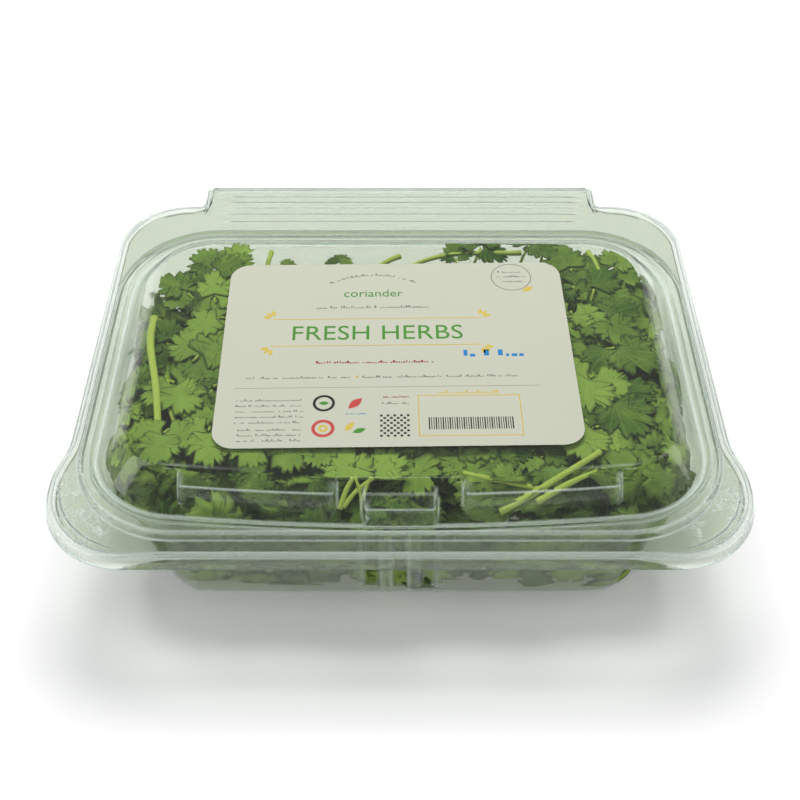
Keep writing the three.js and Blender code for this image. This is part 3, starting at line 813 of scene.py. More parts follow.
@dataclass
class BoxSizes:
    """Sizes that the tray, the lid and the herbs inside share."""

    mouth: Plan = Plan(95.0, -75.2, 56.0)
    floor: Plan = Plan(82.0, -67.5, 49.5)
    mouth_bow: float = 3.4
    floor_bow: float = 0.8
    tray_top: float = 46.0
    lid_top: float = 46.9
    sheet: float = 0.5
    floor_clear: float = 1.4
    # The dome's front slope in three versions, from foot to top panel: how far it leans in and how high
    # it stands. The pads stand proud of the plain slope, and the snap block stands prouder.
    slope: Profile = (
        *((0.2, 0.4), (1.4, 1.7), (2.8, 3.2), (4.9, 5.4)),
        *((7.0, 7.5), (9.0, 9.4), (10.4, 10.5), (12.0, 11.0)),
    )
    pad: Profile = (
        *((0.2, 0.4), (1.4, 1.7), (2.0, 3.6), (2.9, 6.6)),
        *((4.2, 9.8), (8.0, 9.95), (10.2, 10.5), (12.0, 11.0)),
    )
    block: Profile = (
        *((-0.5, 0.4), (-0.5, 2.6), (-0.4, 5.4), (0.0, 7.9)),
        *((6.4, 7.2), (9.0, 9.4), (10.4, 10.5), (12.0, 11.0)),
    )

    def wall(self, z: float | Array, x: float | Array = 0.0) -> tuple[Array, Array, Array]:
        """The inside of the closed box at height z: half width, front and back.

        Below the rim it runs straight from the floor to the mouth, and above it follows the dome's slope.
        The front wall bows, so it also depends on x.
        """
        share = 1 - np.clip(np.asarray(z) / self.tray_top, 0, 1)
        rise = np.asarray(z) - self.lid_top
        lean = np.interp(rise, [s[1] for s in self.slope], [s[0] for s in self.slope])
        lean = np.where(rise > 0, lean, 0.0)
        half = self.mouth.half + (self.floor.half - self.mouth.half) * share - lean
        front = self.mouth.front + (self.floor.front - self.mouth.front) * share + lean
        bow = self.mouth_bow + (self.floor_bow - self.mouth_bow) * share
        front = front + bow * np.clip(np.abs(x) / CORNER_X, 0, 1) ** 2
        back = self.mouth.back + (self.floor.back - self.mouth.back) * share - lean
        return half, front, back

    def press(self, points: Array, margin: Array | float, outline: Outline) -> Array:
        """Moves points that are outside the box's inside onto its walls, floor or lid.

        Args:
            points: any array of points.
            margin: the clearance to keep.
            outline: gives the centres of the rounded corners.

        Returns:
            The points, each no nearer to a wall than the margin. What rose above the lid comes to lie a
            tenth of its excess below the limit, so that pressed leaves keep a slight curve.
        """
        out = points.copy()
        ceiling = self.lid_top + self.slope[-1][1] - self.sheet
        over = np.maximum(out[..., 2] - ceiling + margin, 0)
        out[..., 2] = np.maximum(out[..., 2] - over * 1.1, self.floor_clear + margin)
        half, front, back = self.wall(out[..., 2] + self.sheet, out[..., 0])
        half, front = half - margin - self.sheet, front + margin + self.sheet
        back = back - margin - self.sheet
        out[..., 0] = np.clip(out[..., 0], -half, half)
        out[..., 1] = np.clip(out[..., 1], front, back)
        centre = np.where(out[..., 1] < 0, outline.corner_front, outline.corner_back)
        edge = np.where(out[..., 1] < 0, front, back)
        dx = np.maximum(np.abs(out[..., 0]) - outline.corner_x, 0)
        dy = np.where(out[..., 1] < 0, centre - out[..., 1], out[..., 1] - centre)
        dy = np.maximum(dy, 0)
        far = np.hypot(dx / np.maximum(half - outline.corner_x, 1), dy / np.maximum(np.abs(edge - centre), 1))
        pull = np.where((far > 1) & (dx > 0) & (dy > 0), 1 / np.maximum(far, 1e-6), 1.0)
        out[..., 0] -= np.sign(out[..., 0]) * dx * (1 - pull)
        out[..., 1] += np.where(out[..., 1] < 0, 1.0, -1.0) * dy * (1 - pull)
        return out


def outside(points: Array, mouth: Plan) -> Array:
    """1 at points on the flange and 0 inside the mouth.

    The step between them runs from 2.5 to 4.5 mm outside the mouth's edge, and an ellipse rounds it at the
    corners.
    """
    before, behind = mouth.front - points[:, 1], points[:, 1] - mouth.back
    over = np.maximum(np.abs(points[:, 0]) - mouth.half, np.maximum(before, behind))
    corner = np.hypot(points[:, 0] / (mouth.half + 3), (points[:, 1] + 10) / 82.0) - 1.12
    return np.maximum(ease((over - 2.5) / 2), ease(corner / 0.06))


@dataclass
class Lid:
    """The hinged lid: turned-down edge, edge bead, sealing ridge, dome with pads and a snap block."""

    sizes: BoxSizes
    outline: Outline
    lip_drop: float = 4.1
    lip_flare: float = 1.0
    ridge_height: float = 3.0
    # The sealing ridge's outlines, from the flat flange inwards: its start, foot, two top edges and foot.
    ridge: tuple[Plan, ...] = (
        Plan(101.6, -80.8, 62.6),
        Plan(101.0, -80.3, 62.0),
        Plan(100.3, -79.4, 61.3),
        Plan(96.8, -77.0, 57.8),
        Plan(95.9, -76.0, 56.9),
    )
    pad_span: tuple[float, float] = (19.0, 66.5)
    block_half: float = 10.7
    flap_lines: tuple[float, ...] = (0.14, 0.27, 0.41, 0.56, 0.74)
    ear_lines: tuple[float, ...] = (0.2,)
    crinkle_middle: tuple[float, float] = (95.0, -64.0)
    crinkle_span: tuple[float, float] = (11.0, 22.0)

    def slope_ring(self, k: int) -> Array:
        """The k-th ring of the slope: the plain one, moved to the pads and block along the front run."""
        o, s = self.outline, self.sizes
        across = np.abs(o.at)
        pull = 1.6 if k in (1, 2) else 0.5
        on_pad = bump(across, self.pad_span[0] + pull, self.pad_span[1] - pull, 1.2) * o.on(Run.FRONT)
        on_block = (1 - ease((across - self.block_half) / 1.0 + 0.5)) * o.on(Run.FRONT)
        plain, pad, block = s.slope[k], s.pad[k], s.block[k]
        ring = o.rect(s.mouth.inset(plain[0]), s.lid_top + plain[1], bow=s.mouth_bow)
        ring[:, 1] += (pad[0] - plain[0]) * on_pad + (block[0] - plain[0]) * on_block
        ring[:, 2] += (pad[1] - plain[1]) * on_pad + (block[1] - plain[1]) * on_block
        return ring

    def flange_ring(self, t: float) -> Array:
        """A ring a share t of the way over the flat flange, raised where a moulded line runs.

        The lines on the rear flap run across it, and those on the ears follow the ears' edge. Each is a
        small bell curve in t.
        """
        o, s = self.outline, self.sizes
        ring = (1 - t) * o.outer(s.lid_top, 2.6) + t * o.rect(self.ridge[0], s.lid_top)
        rear = sum(math.exp(-(((t - c) / 0.018) ** 2)) for c in self.flap_lines)
        ear = sum(math.exp(-(((t - c) / 0.03) ** 2)) for c in self.ear_lines)
        on_ear = o.on(Run.FRONT_RIGHT, Run.FRONT_LEFT) * bump(o.at, 14.0, 70.0, 14.0)
        ring[:, 2] += 0.35 * rear * o.on(Run.BACK) + 0.45 * ear * on_ear
        return ring

    def grid(self) -> Array:
        """All rings of the upper face, from the turned-down edge to the middle of the top panel."""
        o, s = self.outline, self.sizes
        stack = Stack()
        rear = o.on(Run.BACK) | (o.on(Run.BACK_LEFT, Run.BACK_RIGHT) & (o.at < 56))
        fade = np.where(o.on(Run.BACK_LEFT, Run.BACK_RIGHT), ease((o.at - 50) / 18), 1.0) * ~o.on(Run.BACK)
        lip = o.outer(s.lid_top - 0.6 - (self.lip_drop - 0.6) * fade, 0.0)
        flared = o.outer(0.0, -self.lip_flare)
        lip[:, :2] += (flared - lip)[:, :2] * np.where(rear, fade, 1.0)[:, None]
        stack.add(lip)
        stack.add(o.outer(s.lid_top, 0.15), 0.6)
        stack.add(o.outer(s.lid_top, 1.1), 0.3)
        stack.add(o.outer(s.lid_top + 0.4, 1.5), 0.3)
        stack.add(o.outer(s.lid_top + 0.4, 2.1), 0.3)
        for t in np.linspace(0, 1, 46):
            stack.add(self.flange_ring(float(t)))
        for plan, up, bow in zip(self.ridge[1:], (0.0, 1.0, 1.0, 0.17), (0.0, 0.0, 0.85, 1.0)):
            stack.add(o.rect(plan, s.lid_top + up * self.ridge_height, bow=bow * s.mouth_bow), 0.9)
        for k in range(len(s.slope)):
            stack.add(self.slope_ring(k), 0.7 if k < len(s.slope) - 1 else 2.2)
        edge = self.slope_ring(len(s.slope) - 1)
        middle = np.array([0.0, (s.mouth.front + s.mouth.back) / 2, edge[0, 2]])
        for share in (0.93, 0.8, 0.6, 0.35, 0.12):
            stack.add(middle + (edge - middle) * share)
        return stack.rounded()

    def crinkled(self, points: Array) -> Array:
        """How strongly the sheet is crinkled at each point: a soft ring round each finger ear's middle."""
        (x, y), (wide, deep) = self.crinkle_middle, self.crinkle_span
        away = np.hypot((np.abs(points[:, 0]) - x) / wide, (points[:, 1] - y) / deep)
        return (1 - ease((away - 0.7) / 0.5)) * outside(points, self.sizes.mouth)

    def build(self, material: bpy.types.Material) -> bpy.types.Object:
        """Makes the lid, which rides on its own body."""
        patch = sheet_patch(self.grid(), self.sizes.sheet)
        patch.tone = self.crinkled(patch.points)
        patch.under = outside(patch.points, self.sizes.mouth)
        piece = make_piece("lid_shell", patch, material)
        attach(piece, "lid")
        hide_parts("hinged_lid")
        return piece


@dataclass
class Tray:
    """The tray: flat flange with a nesting ridge, leaning walls, grooves in front and a footed floor."""

    sizes: BoxSizes
    outline: Outline
    groove_centres: tuple[float, ...] = (-9.2, 0.0, 9.2)
    groove_half: float = 2.6
    groove_depth: float = 2.4
    corner_flat: float = 0.4
    # The nesting ridge's outlines, from the flange inwards: its foot, two top edges, foot and the mouth.
    ridge: tuple[Plan, ...] = (
        Plan(100.5, -79.8, 61.5),
        Plan(99.5, -78.8, 60.5),
        Plan(97.5, -77.4, 58.5),
        Plan(96.3, -76.3, 57.3),
        Plan(95.1, -75.3, 56.1),
    )
    arch: float = 0.9

    def wall_ring(self, share: float) -> Array:
        """A ring a share of the way down the wall, pushed in where the front grooves run."""
        o, s = self.outline, self.sizes
        bow = s.mouth_bow + (s.floor_bow - s.mouth_bow) * share
        flat = self.corner_flat * float(ease(share * 4))
        ring = o.rect(s.mouth.toward(s.floor, share), s.tray_top * (1 - share), flat, bow)
        inside = sum(bump(o.at, c - self.groove_half, c + self.groove_half, 0.7) for c in self.groove_centres)
        depth = self.groove_depth * float(bump(np.array(share), 0.1, 0.93, 0.05))
        ring[:, 1] += depth * inside * o.on(Run.FRONT)
        return ring

    def grid(self) -> Array:
        """All rings of the upper face, from the flange's edge down the wall to the middle of the floor."""
        o, s = self.outline, self.sizes
        top = s.tray_top
        stack = Stack()
        rear = o.on(Run.BACK) | (o.on(Run.BACK_LEFT, Run.BACK_RIGHT) & (o.at < 29))
        stack.add(o.outer(np.where(rear, top - 0.1, top - 1.3), 2.2, rear=0.1))
        edge, foot = o.outer(top, 2.7, rear=0.5), o.rect(self.ridge[0], top)
        stack.add(edge, 0.4)
        for t in (0.06, 0.12, 0.3, 0.5, 0.7, 0.88, 0.96):
            stack.add(edge + (foot - edge) * t)
        for plan, up, bow in zip(self.ridge, (0.0, 1.9, 1.9, -0.4, -0.6), (0.0, 0.0, 0.75, 0.95, 1.0)):
            stack.add(o.rect(plan, top + up, bow=bow * s.mouth_bow), 0.6)
        for share in (0.05, 0.08, 0.1, 0.12, 0.15, 0.3, 0.45, 0.6, 0.75, 0.88, 0.905, 0.93):
            stack.add(self.wall_ring(share))
        lift = self.arch * np.exp(-((o.at / 26) ** 2)) * o.on(Run.FRONT)
        stack.add(o.rect(s.floor, s.sheet + lift, self.corner_flat, s.floor_bow), 3.2)
        stack.add(o.rect(s.floor.inset(6.5), s.sheet + lift, self.corner_flat * 0.5, s.floor_bow), 1.0)
        stack.add(o.rect(s.floor.inset(8.0), s.sheet + 1.2), 1.0)
        edge = o.rect(s.floor.inset(12.0), s.sheet + 1.2)
        middle = np.array([0.0, (s.floor.front + s.floor.back) / 2, edge[0, 2]])
        for share in (1.0, 0.75, 0.45, 0.15):
            stack.add(middle + (edge - middle) * share)
        return stack.rounded()

    def build(self, material: bpy.types.Material) -> bpy.types.Object:
        """Makes the tray, which rides on the base."""
        patch = sheet_patch(self.grid(), self.sizes.sheet)
        patch.under = outside(patch.points, self.sizes.mouth)
        piece = make_piece("tray_shell", patch, material)
        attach(piece, "base")
        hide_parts("base_tray")
        return piece


@dataclass
class Fold:
    """The living hinge: a strip of sheet that folds from the tray's flap up and over to the lid's."""

    sizes: BoxSizes
    half: float = 73.0
    start: float = 90.45
    thick: float = 0.22
    # How far under the tray's and the lid's upper faces the strip's two ends lie.
    below_tray: float = 0.3
    below_lid: float = 0.2

    def build(self, material: bpy.types.Material) -> bpy.types.Object:
        """Makes the strip.

        Its section is a half circle that joins the tray's edge to the lid's: centre (start, mid height),
        angle from -90 to 90 degrees. The outer face has the fold's radius and the inner face lies inside
        it by the thickness. It is carried along X and closed at both ends.

        Returns:
            The strip, which joins the tray's edge to the lid's.
        """
        low, high = self.sizes.tray_top - self.below_tray, self.sizes.lid_top - self.below_lid
        radius = (high - low) / 2
        turn = np.linspace(-np.pi / 2, np.pi / 2, 13)
        rings = [radius + self.thick / 2, radius - self.thick / 2]
        y = np.concatenate([self.start + r * np.cos(turn) for r in rings]).reshape(2, -1)
        z = np.concatenate([(low + high) / 2 + r * np.sin(turn) for r in rings]).reshape(2, -1)
        loop_y = np.concatenate([y[0], y[1, ::-1]])
        loop_z = np.concatenate([z[0], z[1, ::-1]])
        stops = np.linspace(-self.half, self.half, 40)
        count = len(loop_y)
        points = np.stack(
            [np.repeat(stops, count), np.tile(loop_y, len(stops)), np.tile(loop_z, len(stops))], axis=1
        )
        a, b = np.meshgrid(np.arange(len(stops) - 1), np.arange(count), indexing="ij")
        c = (b + 1) % count
        here, there = a * count, (a + 1) * count
        quads = np.stack([here + b, there + b, there + c, here + c], -1).reshape(-1, 4)
        n = len(turn)
        k = np.arange(n - 1)
        end = np.stack([k, k + 1, count - 2 - k, count - 1 - k], 1)
        far = end[:, ::-1] + (len(stops) - 1) * count
        piece = make_piece("fold_strip", Patch.plain(points, [quads[:, ::-1], end, far]), material)
        tidy = bmesh.new()
        tidy.from_mesh(piece.data)
        bmesh.ops.recalc_face_normals(tidy, faces=tidy.faces)
        tidy.to_mesh(piece.data)
        tidy.free()
        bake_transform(piece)
        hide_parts("hinge_fold")
        return piece


# ---------------------------------------------------------------- the label


class Ink(Enum):
    """The label's printing inks and their colours."""

    GREEN = (0.09, 0.32, 0.05)
    GREY = (0.24, 0.25, 0.21)
    RED = (0.33, 0.03, 0.05)
    GOLD = (0.72, 0.56, 0.1)
    BLUE = (0.03, 0.25, 0.6)
    BLACK = (0.03, 0.035, 0.03)
    CORAL = (0.62, 0.09, 0.08)


@dataclass
class Label:
    """The paper label on the lid, printed with plain generic marks."""

    sizes: BoxSizes
    rng: np.random.Generator
    half: tuple[float, float] = (57.4, 42.5)
    corner: float = 7.0
    centre: tuple[float, float] = (-1.0, -11.0)
    turn: float = 0.9
    thick: float = 0.16
    ink_thick: float = 0.02
    ink_gap: float = 0.004
    ring_points: int = 40
    marks: dict[Ink, list[Patch]] = field(default_factory=dict)

    @property
    def face(self) -> float:
        """Height of the paper's printed face."""
        return self.sizes.lid_top + self.sizes.slope[-1][1] + 0.1 + self.thick

    @property
    def ink_levels(self) -> tuple[float, float]:
        """The heights of the print's lower and upper faces, which clear the paper's face."""
        return self.face + self.ink_gap, self.face + self.ink_thick

    def placed(self, points: Array) -> Array:
        """Points on the label, turned a little and moved to its place on the lid."""
        a = math.radians(self.turn)
        x = self.centre[0] + points[:, 0] * math.cos(a) - points[:, 1] * math.sin(a)
        y = self.centre[1] + points[:, 0] * math.sin(a) + points[:, 1] * math.cos(a)
        return np.stack([x, y, points[:, 2]], axis=1)

    def prism(self, loop: Array, low: float, high: float) -> Patch:
        """A closed plate: an outline that is convex about its middle, between two heights."""
        n = len(loop)
        middle = loop.mean(axis=0)
        flat = np.concatenate([loop, [middle]])
        points = np.concatenate(
            [np.column_stack([flat, np.full(n + 1, high)]), np.column_stack([flat, np.full(n + 1, low)])]
        )
        i = np.arange(n)
        j = (i + 1) % n
        top = np.stack([i, j, np.full(n, n)], 1)
        under = np.stack([j + n + 1, i + n + 1, np.full(n, 2 * n + 1)], 1)
        side = np.stack([i + n + 1, j + n + 1, j, i], 1)
        return Patch.plain(self.placed(points), [top, under, side])

    def printed(self, ink: Ink, patch: Patch) -> None:
        """Keeps a printed mark for its ink's piece."""
        self.marks.setdefault(ink, []).append(patch)

    def ring(self, x: float, y: float, outer: float, inner: float, ink: Ink) -> None:
        """A printed ring: two circles between two heights, as a closed band of four faces round."""
        count = self.ring_points
        a = np.linspace(0, 2 * np.pi, count + 1)[:-1]
        circle = np.stack([np.cos(a), np.sin(a)], 1)
        low, high = self.ink_levels
        loops = [(outer, high), (outer, low), (inner, low), (inner, high)]
        points = np.concatenate([np.column_stack([circle * r + [x, y], np.full(count, z)]) for r, z in loops])
        i = np.arange(count)
        j = (i + 1) % count
        starts = [(k * count, (k + 1) % 4 * count) for k in range(4)]
        faces = [np.stack([one + i, two + i, two + j, one + j], 1) for one, two in starts]
        self.printed(ink, Patch.plain(self.placed(points), faces))

    def bars(self, rects: Array, ink: Ink) -> None:
        """Printed bars, all at once.

        Args:
            rects: rows of centre x, centre y, width, height and turn in radians.
            ink: the ink.
        """
        rects = np.atleast_2d(rects)
        corners = np.array([[-0.5, -0.5], [0.5, -0.5], [0.5, 0.5], [-0.5, 0.5]])
        offset = corners[None] * rects[:, None, 2:4]
        c, s = np.cos(rects[:, 4])[:, None], np.sin(rects[:, 4])[:, None]
        x = rects[:, None, 0] + offset[..., 0] * c - offset[..., 1] * s
        y = rects[:, None, 1] + offset[..., 0] * s + offset[..., 1] * c
        levels = [np.stack([x, y, np.full_like(x, z)], -1) for z in self.ink_levels]
        points = np.concatenate(levels, axis=1).reshape(-1, 3)
        box = np.array([[3, 2, 1, 0], [4, 5, 6, 7], [0, 1, 5, 4], [1, 2, 6, 5], [2, 3, 7, 6], [3, 0, 4, 7]])
        faces = (box[None] + 8 * np.arange(len(rects))[:, None, None]).reshape(-1, 4)
        self.printed(ink, Patch.plain(self.placed(points), [faces]))

    def writing(self, x: float, y: float, width: float, height: float, ink: Ink, bend: float = 0.0) -> None:
        """A line of made-up writing that says nothing: groups of short strokes on a base line.

        Args:
            x: middle of the line.
            y: its height on the label.
            width: its length.
            height: the tallest stroke.
            ink: the ink.
            bend: how far the line's ends drop below its middle, in mm.
        """
        step = height * 0.52
        places = np.arange(-width / 2, width / 2, step)
        keep = self.rng.random(len(places)) > 0.17
        places = places[keep]
        tall = height * self.rng.choice([0.45, 0.6, 1.0], len(places), p=[0.45, 0.35, 0.2])
        wide = step * self.rng.uniform(0.4, 0.98, len(places))
        slope = -2 * bend * places / (width / 2) ** 2
        drop = -bend * (places / (width / 2)) ** 2
        level = y + drop + tall / 2 - height / 3
        rows = np.stack([x + places, level, wide, tall * 0.62, np.arctan(slope)], 1)
        self.bars(rows, ink)

    def frame(self, x0: float, y0: float, x1: float, y1: float, line: float, ink: Ink) -> None:
        """A plain rectangle of four thin bars."""
        cx, cy = (x0 + x1) / 2, (y0 + y1) / 2
        rows = [
            [cx, y0, x1 - x0 + line, line, 0],
            [cx, y1, x1 - x0 + line, line, 0],
            [x0, cy, line, y1 - y0 - line, 0],
            [x1, cy, line, y1 - y0 - line, 0],
        ]
        self.bars(np.array(rows), ink)

    def words(self, text: str, x: float, y: float, size: float, ink: Ink, spacing: float = 1.05) -> None:
        """Generic words in Blender's own plain font, made a mesh before they are placed.

        Args:
            text: the words.
            x: their middle.
            y: their base line.
            size: the font's size.
            ink: the ink.
            spacing: the letters' spacing.
        """
        curve = bpy.data.curves.new("words", "FONT")
        curve.body = text
        curve.size = size
        curve.align_x = "CENTER"
        curve.space_character = spacing
        curve.extrude = self.ink_thick / 2
        curve.resolution_u = 4
        holder = bpy.data.objects.new("words", curve)
        bpy.context.scene.collection.objects.link(holder)
        mesh = bpy.data.meshes.new_from_object(holder.evaluated_get(bpy.context.evaluated_depsgraph_get()))
        tidy = bmesh.new()
        tidy.from_mesh(mesh)
        bmesh.ops.remove_doubles(tidy, verts=tidy.verts, dist=1e-4)
        bmesh.ops.triangulate(tidy, faces=tidy.faces)
        bmesh.ops.recalc_face_normals(tidy, faces=tidy.faces)
        points = np.array([v.co for v in tidy.verts], float)
        faces = np.array([[v.index for v in f.verts] for f in tidy.faces], int)
        tidy.free()
        bpy.data.objects.remove(holder)
        bpy.data.meshes.remove(mesh)
        points += [x, y, self.face + self.ink_thick / 2 + self.ink_gap]
        self.printed(ink, Patch.plain(self.placed(points), [faces]))

    def leaf_mark(self, x: float, y: float, length: float, angle: float, ink: Ink) -> None:
        """A plain pointed leaf: two sine arcs from tip to tip."""
        t = np.linspace(0, 1, 13)
        arc = 0.22 * length * np.sin(np.pi * t)
        loop = np.concatenate([np.stack([t * length, -arc], 1), np.stack([t * length, arc], 1)[::-1][1:-1]])
        c, s = math.cos(angle), math.sin(angle)
        loop = loop @ np.array([[c, s], [-s, c]]) + [x, y]
        self.printed(ink, self.prism(loop, *self.ink_levels))

    def paper_patch(self) -> Patch:
        """The paper: a rounded rectangle of four quarter circles."""
        turn = np.radians(np.linspace(0, 90, 10))
        loops = []
        for quarter, (sx, sy) in enumerate(((1, 1), (-1, 1), (-1, -1), (1, -1))):
            a = turn + quarter * np.pi / 2
            centre = [sx * (self.half[0] - self.corner), sy * (self.half[1] - self.corner)]
            loops.append(np.stack([np.cos(a), np.sin(a)], 1) * self.corner + centre)
        return self.prism(np.concatenate(loops), self.face - self.thick, self.face)

    def print_marks(self) -> None:
        """Lays out the generic print: words, plain lines, roundels, a dotted square and a bar pattern."""
        self.writing(-7.8, 36.6, 29.0, 1.5, Ink.GREY, bend=4.0)
        self.words("coriander", -7.8, 25.4, 5.2, Ink.GREEN, 1.0)
        self.writing(-7.5, 20.0, 38.0, 1.7, Ink.GREY)
        self.words("FRESH HERBS", -6.5, 4.4, 9.6, Ink.GREEN, 1.02)
        for y in (14.4, 1.6):
            self.bars(np.array([[-6.5, y, 70.0, 0.35, 0]]), Ink.GOLD)
            for side in (-1, 1):
                for angle in (0.35, 0.85, 1.35):
                    angle = angle if side > 0 else math.pi - angle
                    angle = angle if y > 8 else -angle
                    foot = (-6.5 + side * 34.2 + 1.5 * math.cos(angle), y + 1.5 * math.sin(angle))
                    self.leaf_mark(*foot, 3.0, angle, Ink.GOLD)
        self.ring(40.2, 34.8, 7.0, 6.7, Ink.GREY)
        for k, width in enumerate((8.5, 9.5, 7.5)):
            self.writing(40.2, 37.4 - 2.4 * k, width, 1.3, Ink.GREY)
        self.leaf_mark(43.6, 27.2, 4.6, 0.6, Ink.GOLD)
        self.writing(32.6, -3.1, 20.5, 4.4, Ink.BLUE)
        self.writing(-7.0, -6.3, 38.0, 1.6, Ink.RED)
        self.writing(-32.0, -13.0, 34.0, 1.4, Ink.GREY)
        self.writing(14.0, -13.0, 50.0, 1.4, Ink.GREY)
        self.leaf_mark(-13.6, -13.2, 1.6, 0.7, Ink.GOLD)
        self.bars(np.array([[-3.0, -17.4, 98.0, 0.14, 0]]), Ink.GREY)
        for k in range(5):
            self.writing(-40.2, -22.8 - 2.35 * k, 21.0, 1.25, Ink.GREY)
        for k in range(3):
            self.writing(-39.6, -35.2 - 2.2 * k, 19.5, 1.35, Ink.GREY)
        self.ring(-23.3, -24.2, 3.5, 2.6, Ink.BLACK)
        self.leaf_mark(-25.0, -24.2, 3.4, 0.0, Ink.GREEN)
        self.ring(-23.3, -34.8, 3.6, 2.5, Ink.CORAL)
        self.ring(-23.3, -34.8, 1.5, 0.7, Ink.GOLD)
        self.leaf_mark(-15.6, -26.6, 6.2, 0.8, Ink.CORAL)
        self.leaf_mark(-16.6, -36.0, 4.6, 0.9, Ink.GOLD)
        self.leaf_mark(-14.2, -36.6, 4.4, 0.35, Ink.GREEN)
        self.writing(-13.0, -28.8, 6.0, 1.1, Ink.BLUE)
        self.writing(-0.6, -21.8, 7.5, 1.2, Ink.RED)
        self.writing(-0.6, -24.6, 8.5, 1.2, Ink.GREY)
        cell = 9.4 / 9
        gx, gy = np.meshgrid(np.arange(9), np.arange(9))
        keep = (gx + gy) % 2 == 0
        dots = np.stack([-5.8 + (gx[keep] + 0.5) * cell, -38.6 + (gy[keep] + 0.5) * cell], 1)
        sizes = np.full((len(dots), 2), cell * 0.78)
        self.bars(np.column_stack([dots, sizes, np.zeros(len(dots))]), Ink.BLACK)
        self.frame(6.4, -38.3, 38.4, -21.4, 0.35, Ink.GOLD)
        self.writing(22.4, -20.2, 19.0, 1.7, Ink.GOLD)
        bars = np.arange(9.6, 35.8, 0.72)
        wide = np.where(np.arange(len(bars)) % 3 == 0, 0.42, 0.26)
        rows = np.stack([bars, np.full_like(bars, -33.2), wide, np.full_like(bars, 5.0), 0 * bars], 1)
        self.bars(rows, Ink.BLACK)

    def build(self, paper: bpy.types.Material) -> None:
        """Makes the paper and one piece for each ink, all riding on the lid."""
        sheet = make_piece("label_paper", self.paper_patch(), paper)
        sheet.data.set_sharp_from_angle(angle=math.radians(40))
        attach(sheet, "lid")
        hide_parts("paper_label")
        self.print_marks()
        for ink, parts in self.marks.items():
            name = f"label_print_{ink.name.lower()}"
            material = PaperFinish(name, ink.value, 0.5, 0.12).material()
            piece = make_piece(name, Patch.joined(parts), material)
            piece.data.polygons.foreach_set("use_smooth", np.zeros(len(piece.data.polygons), bool))
            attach(piece, "lid")


# ---------------------------------------------------------------- the herbs


class LeafDetail(Enum):
    """How finely a leaflet is made: points round its edge, and its inner rings as shares of its size."""

    FINE = (88, (0.4, 0.78))
    MEDIUM = (52, (0.62,))
    COARSE = (24, ())


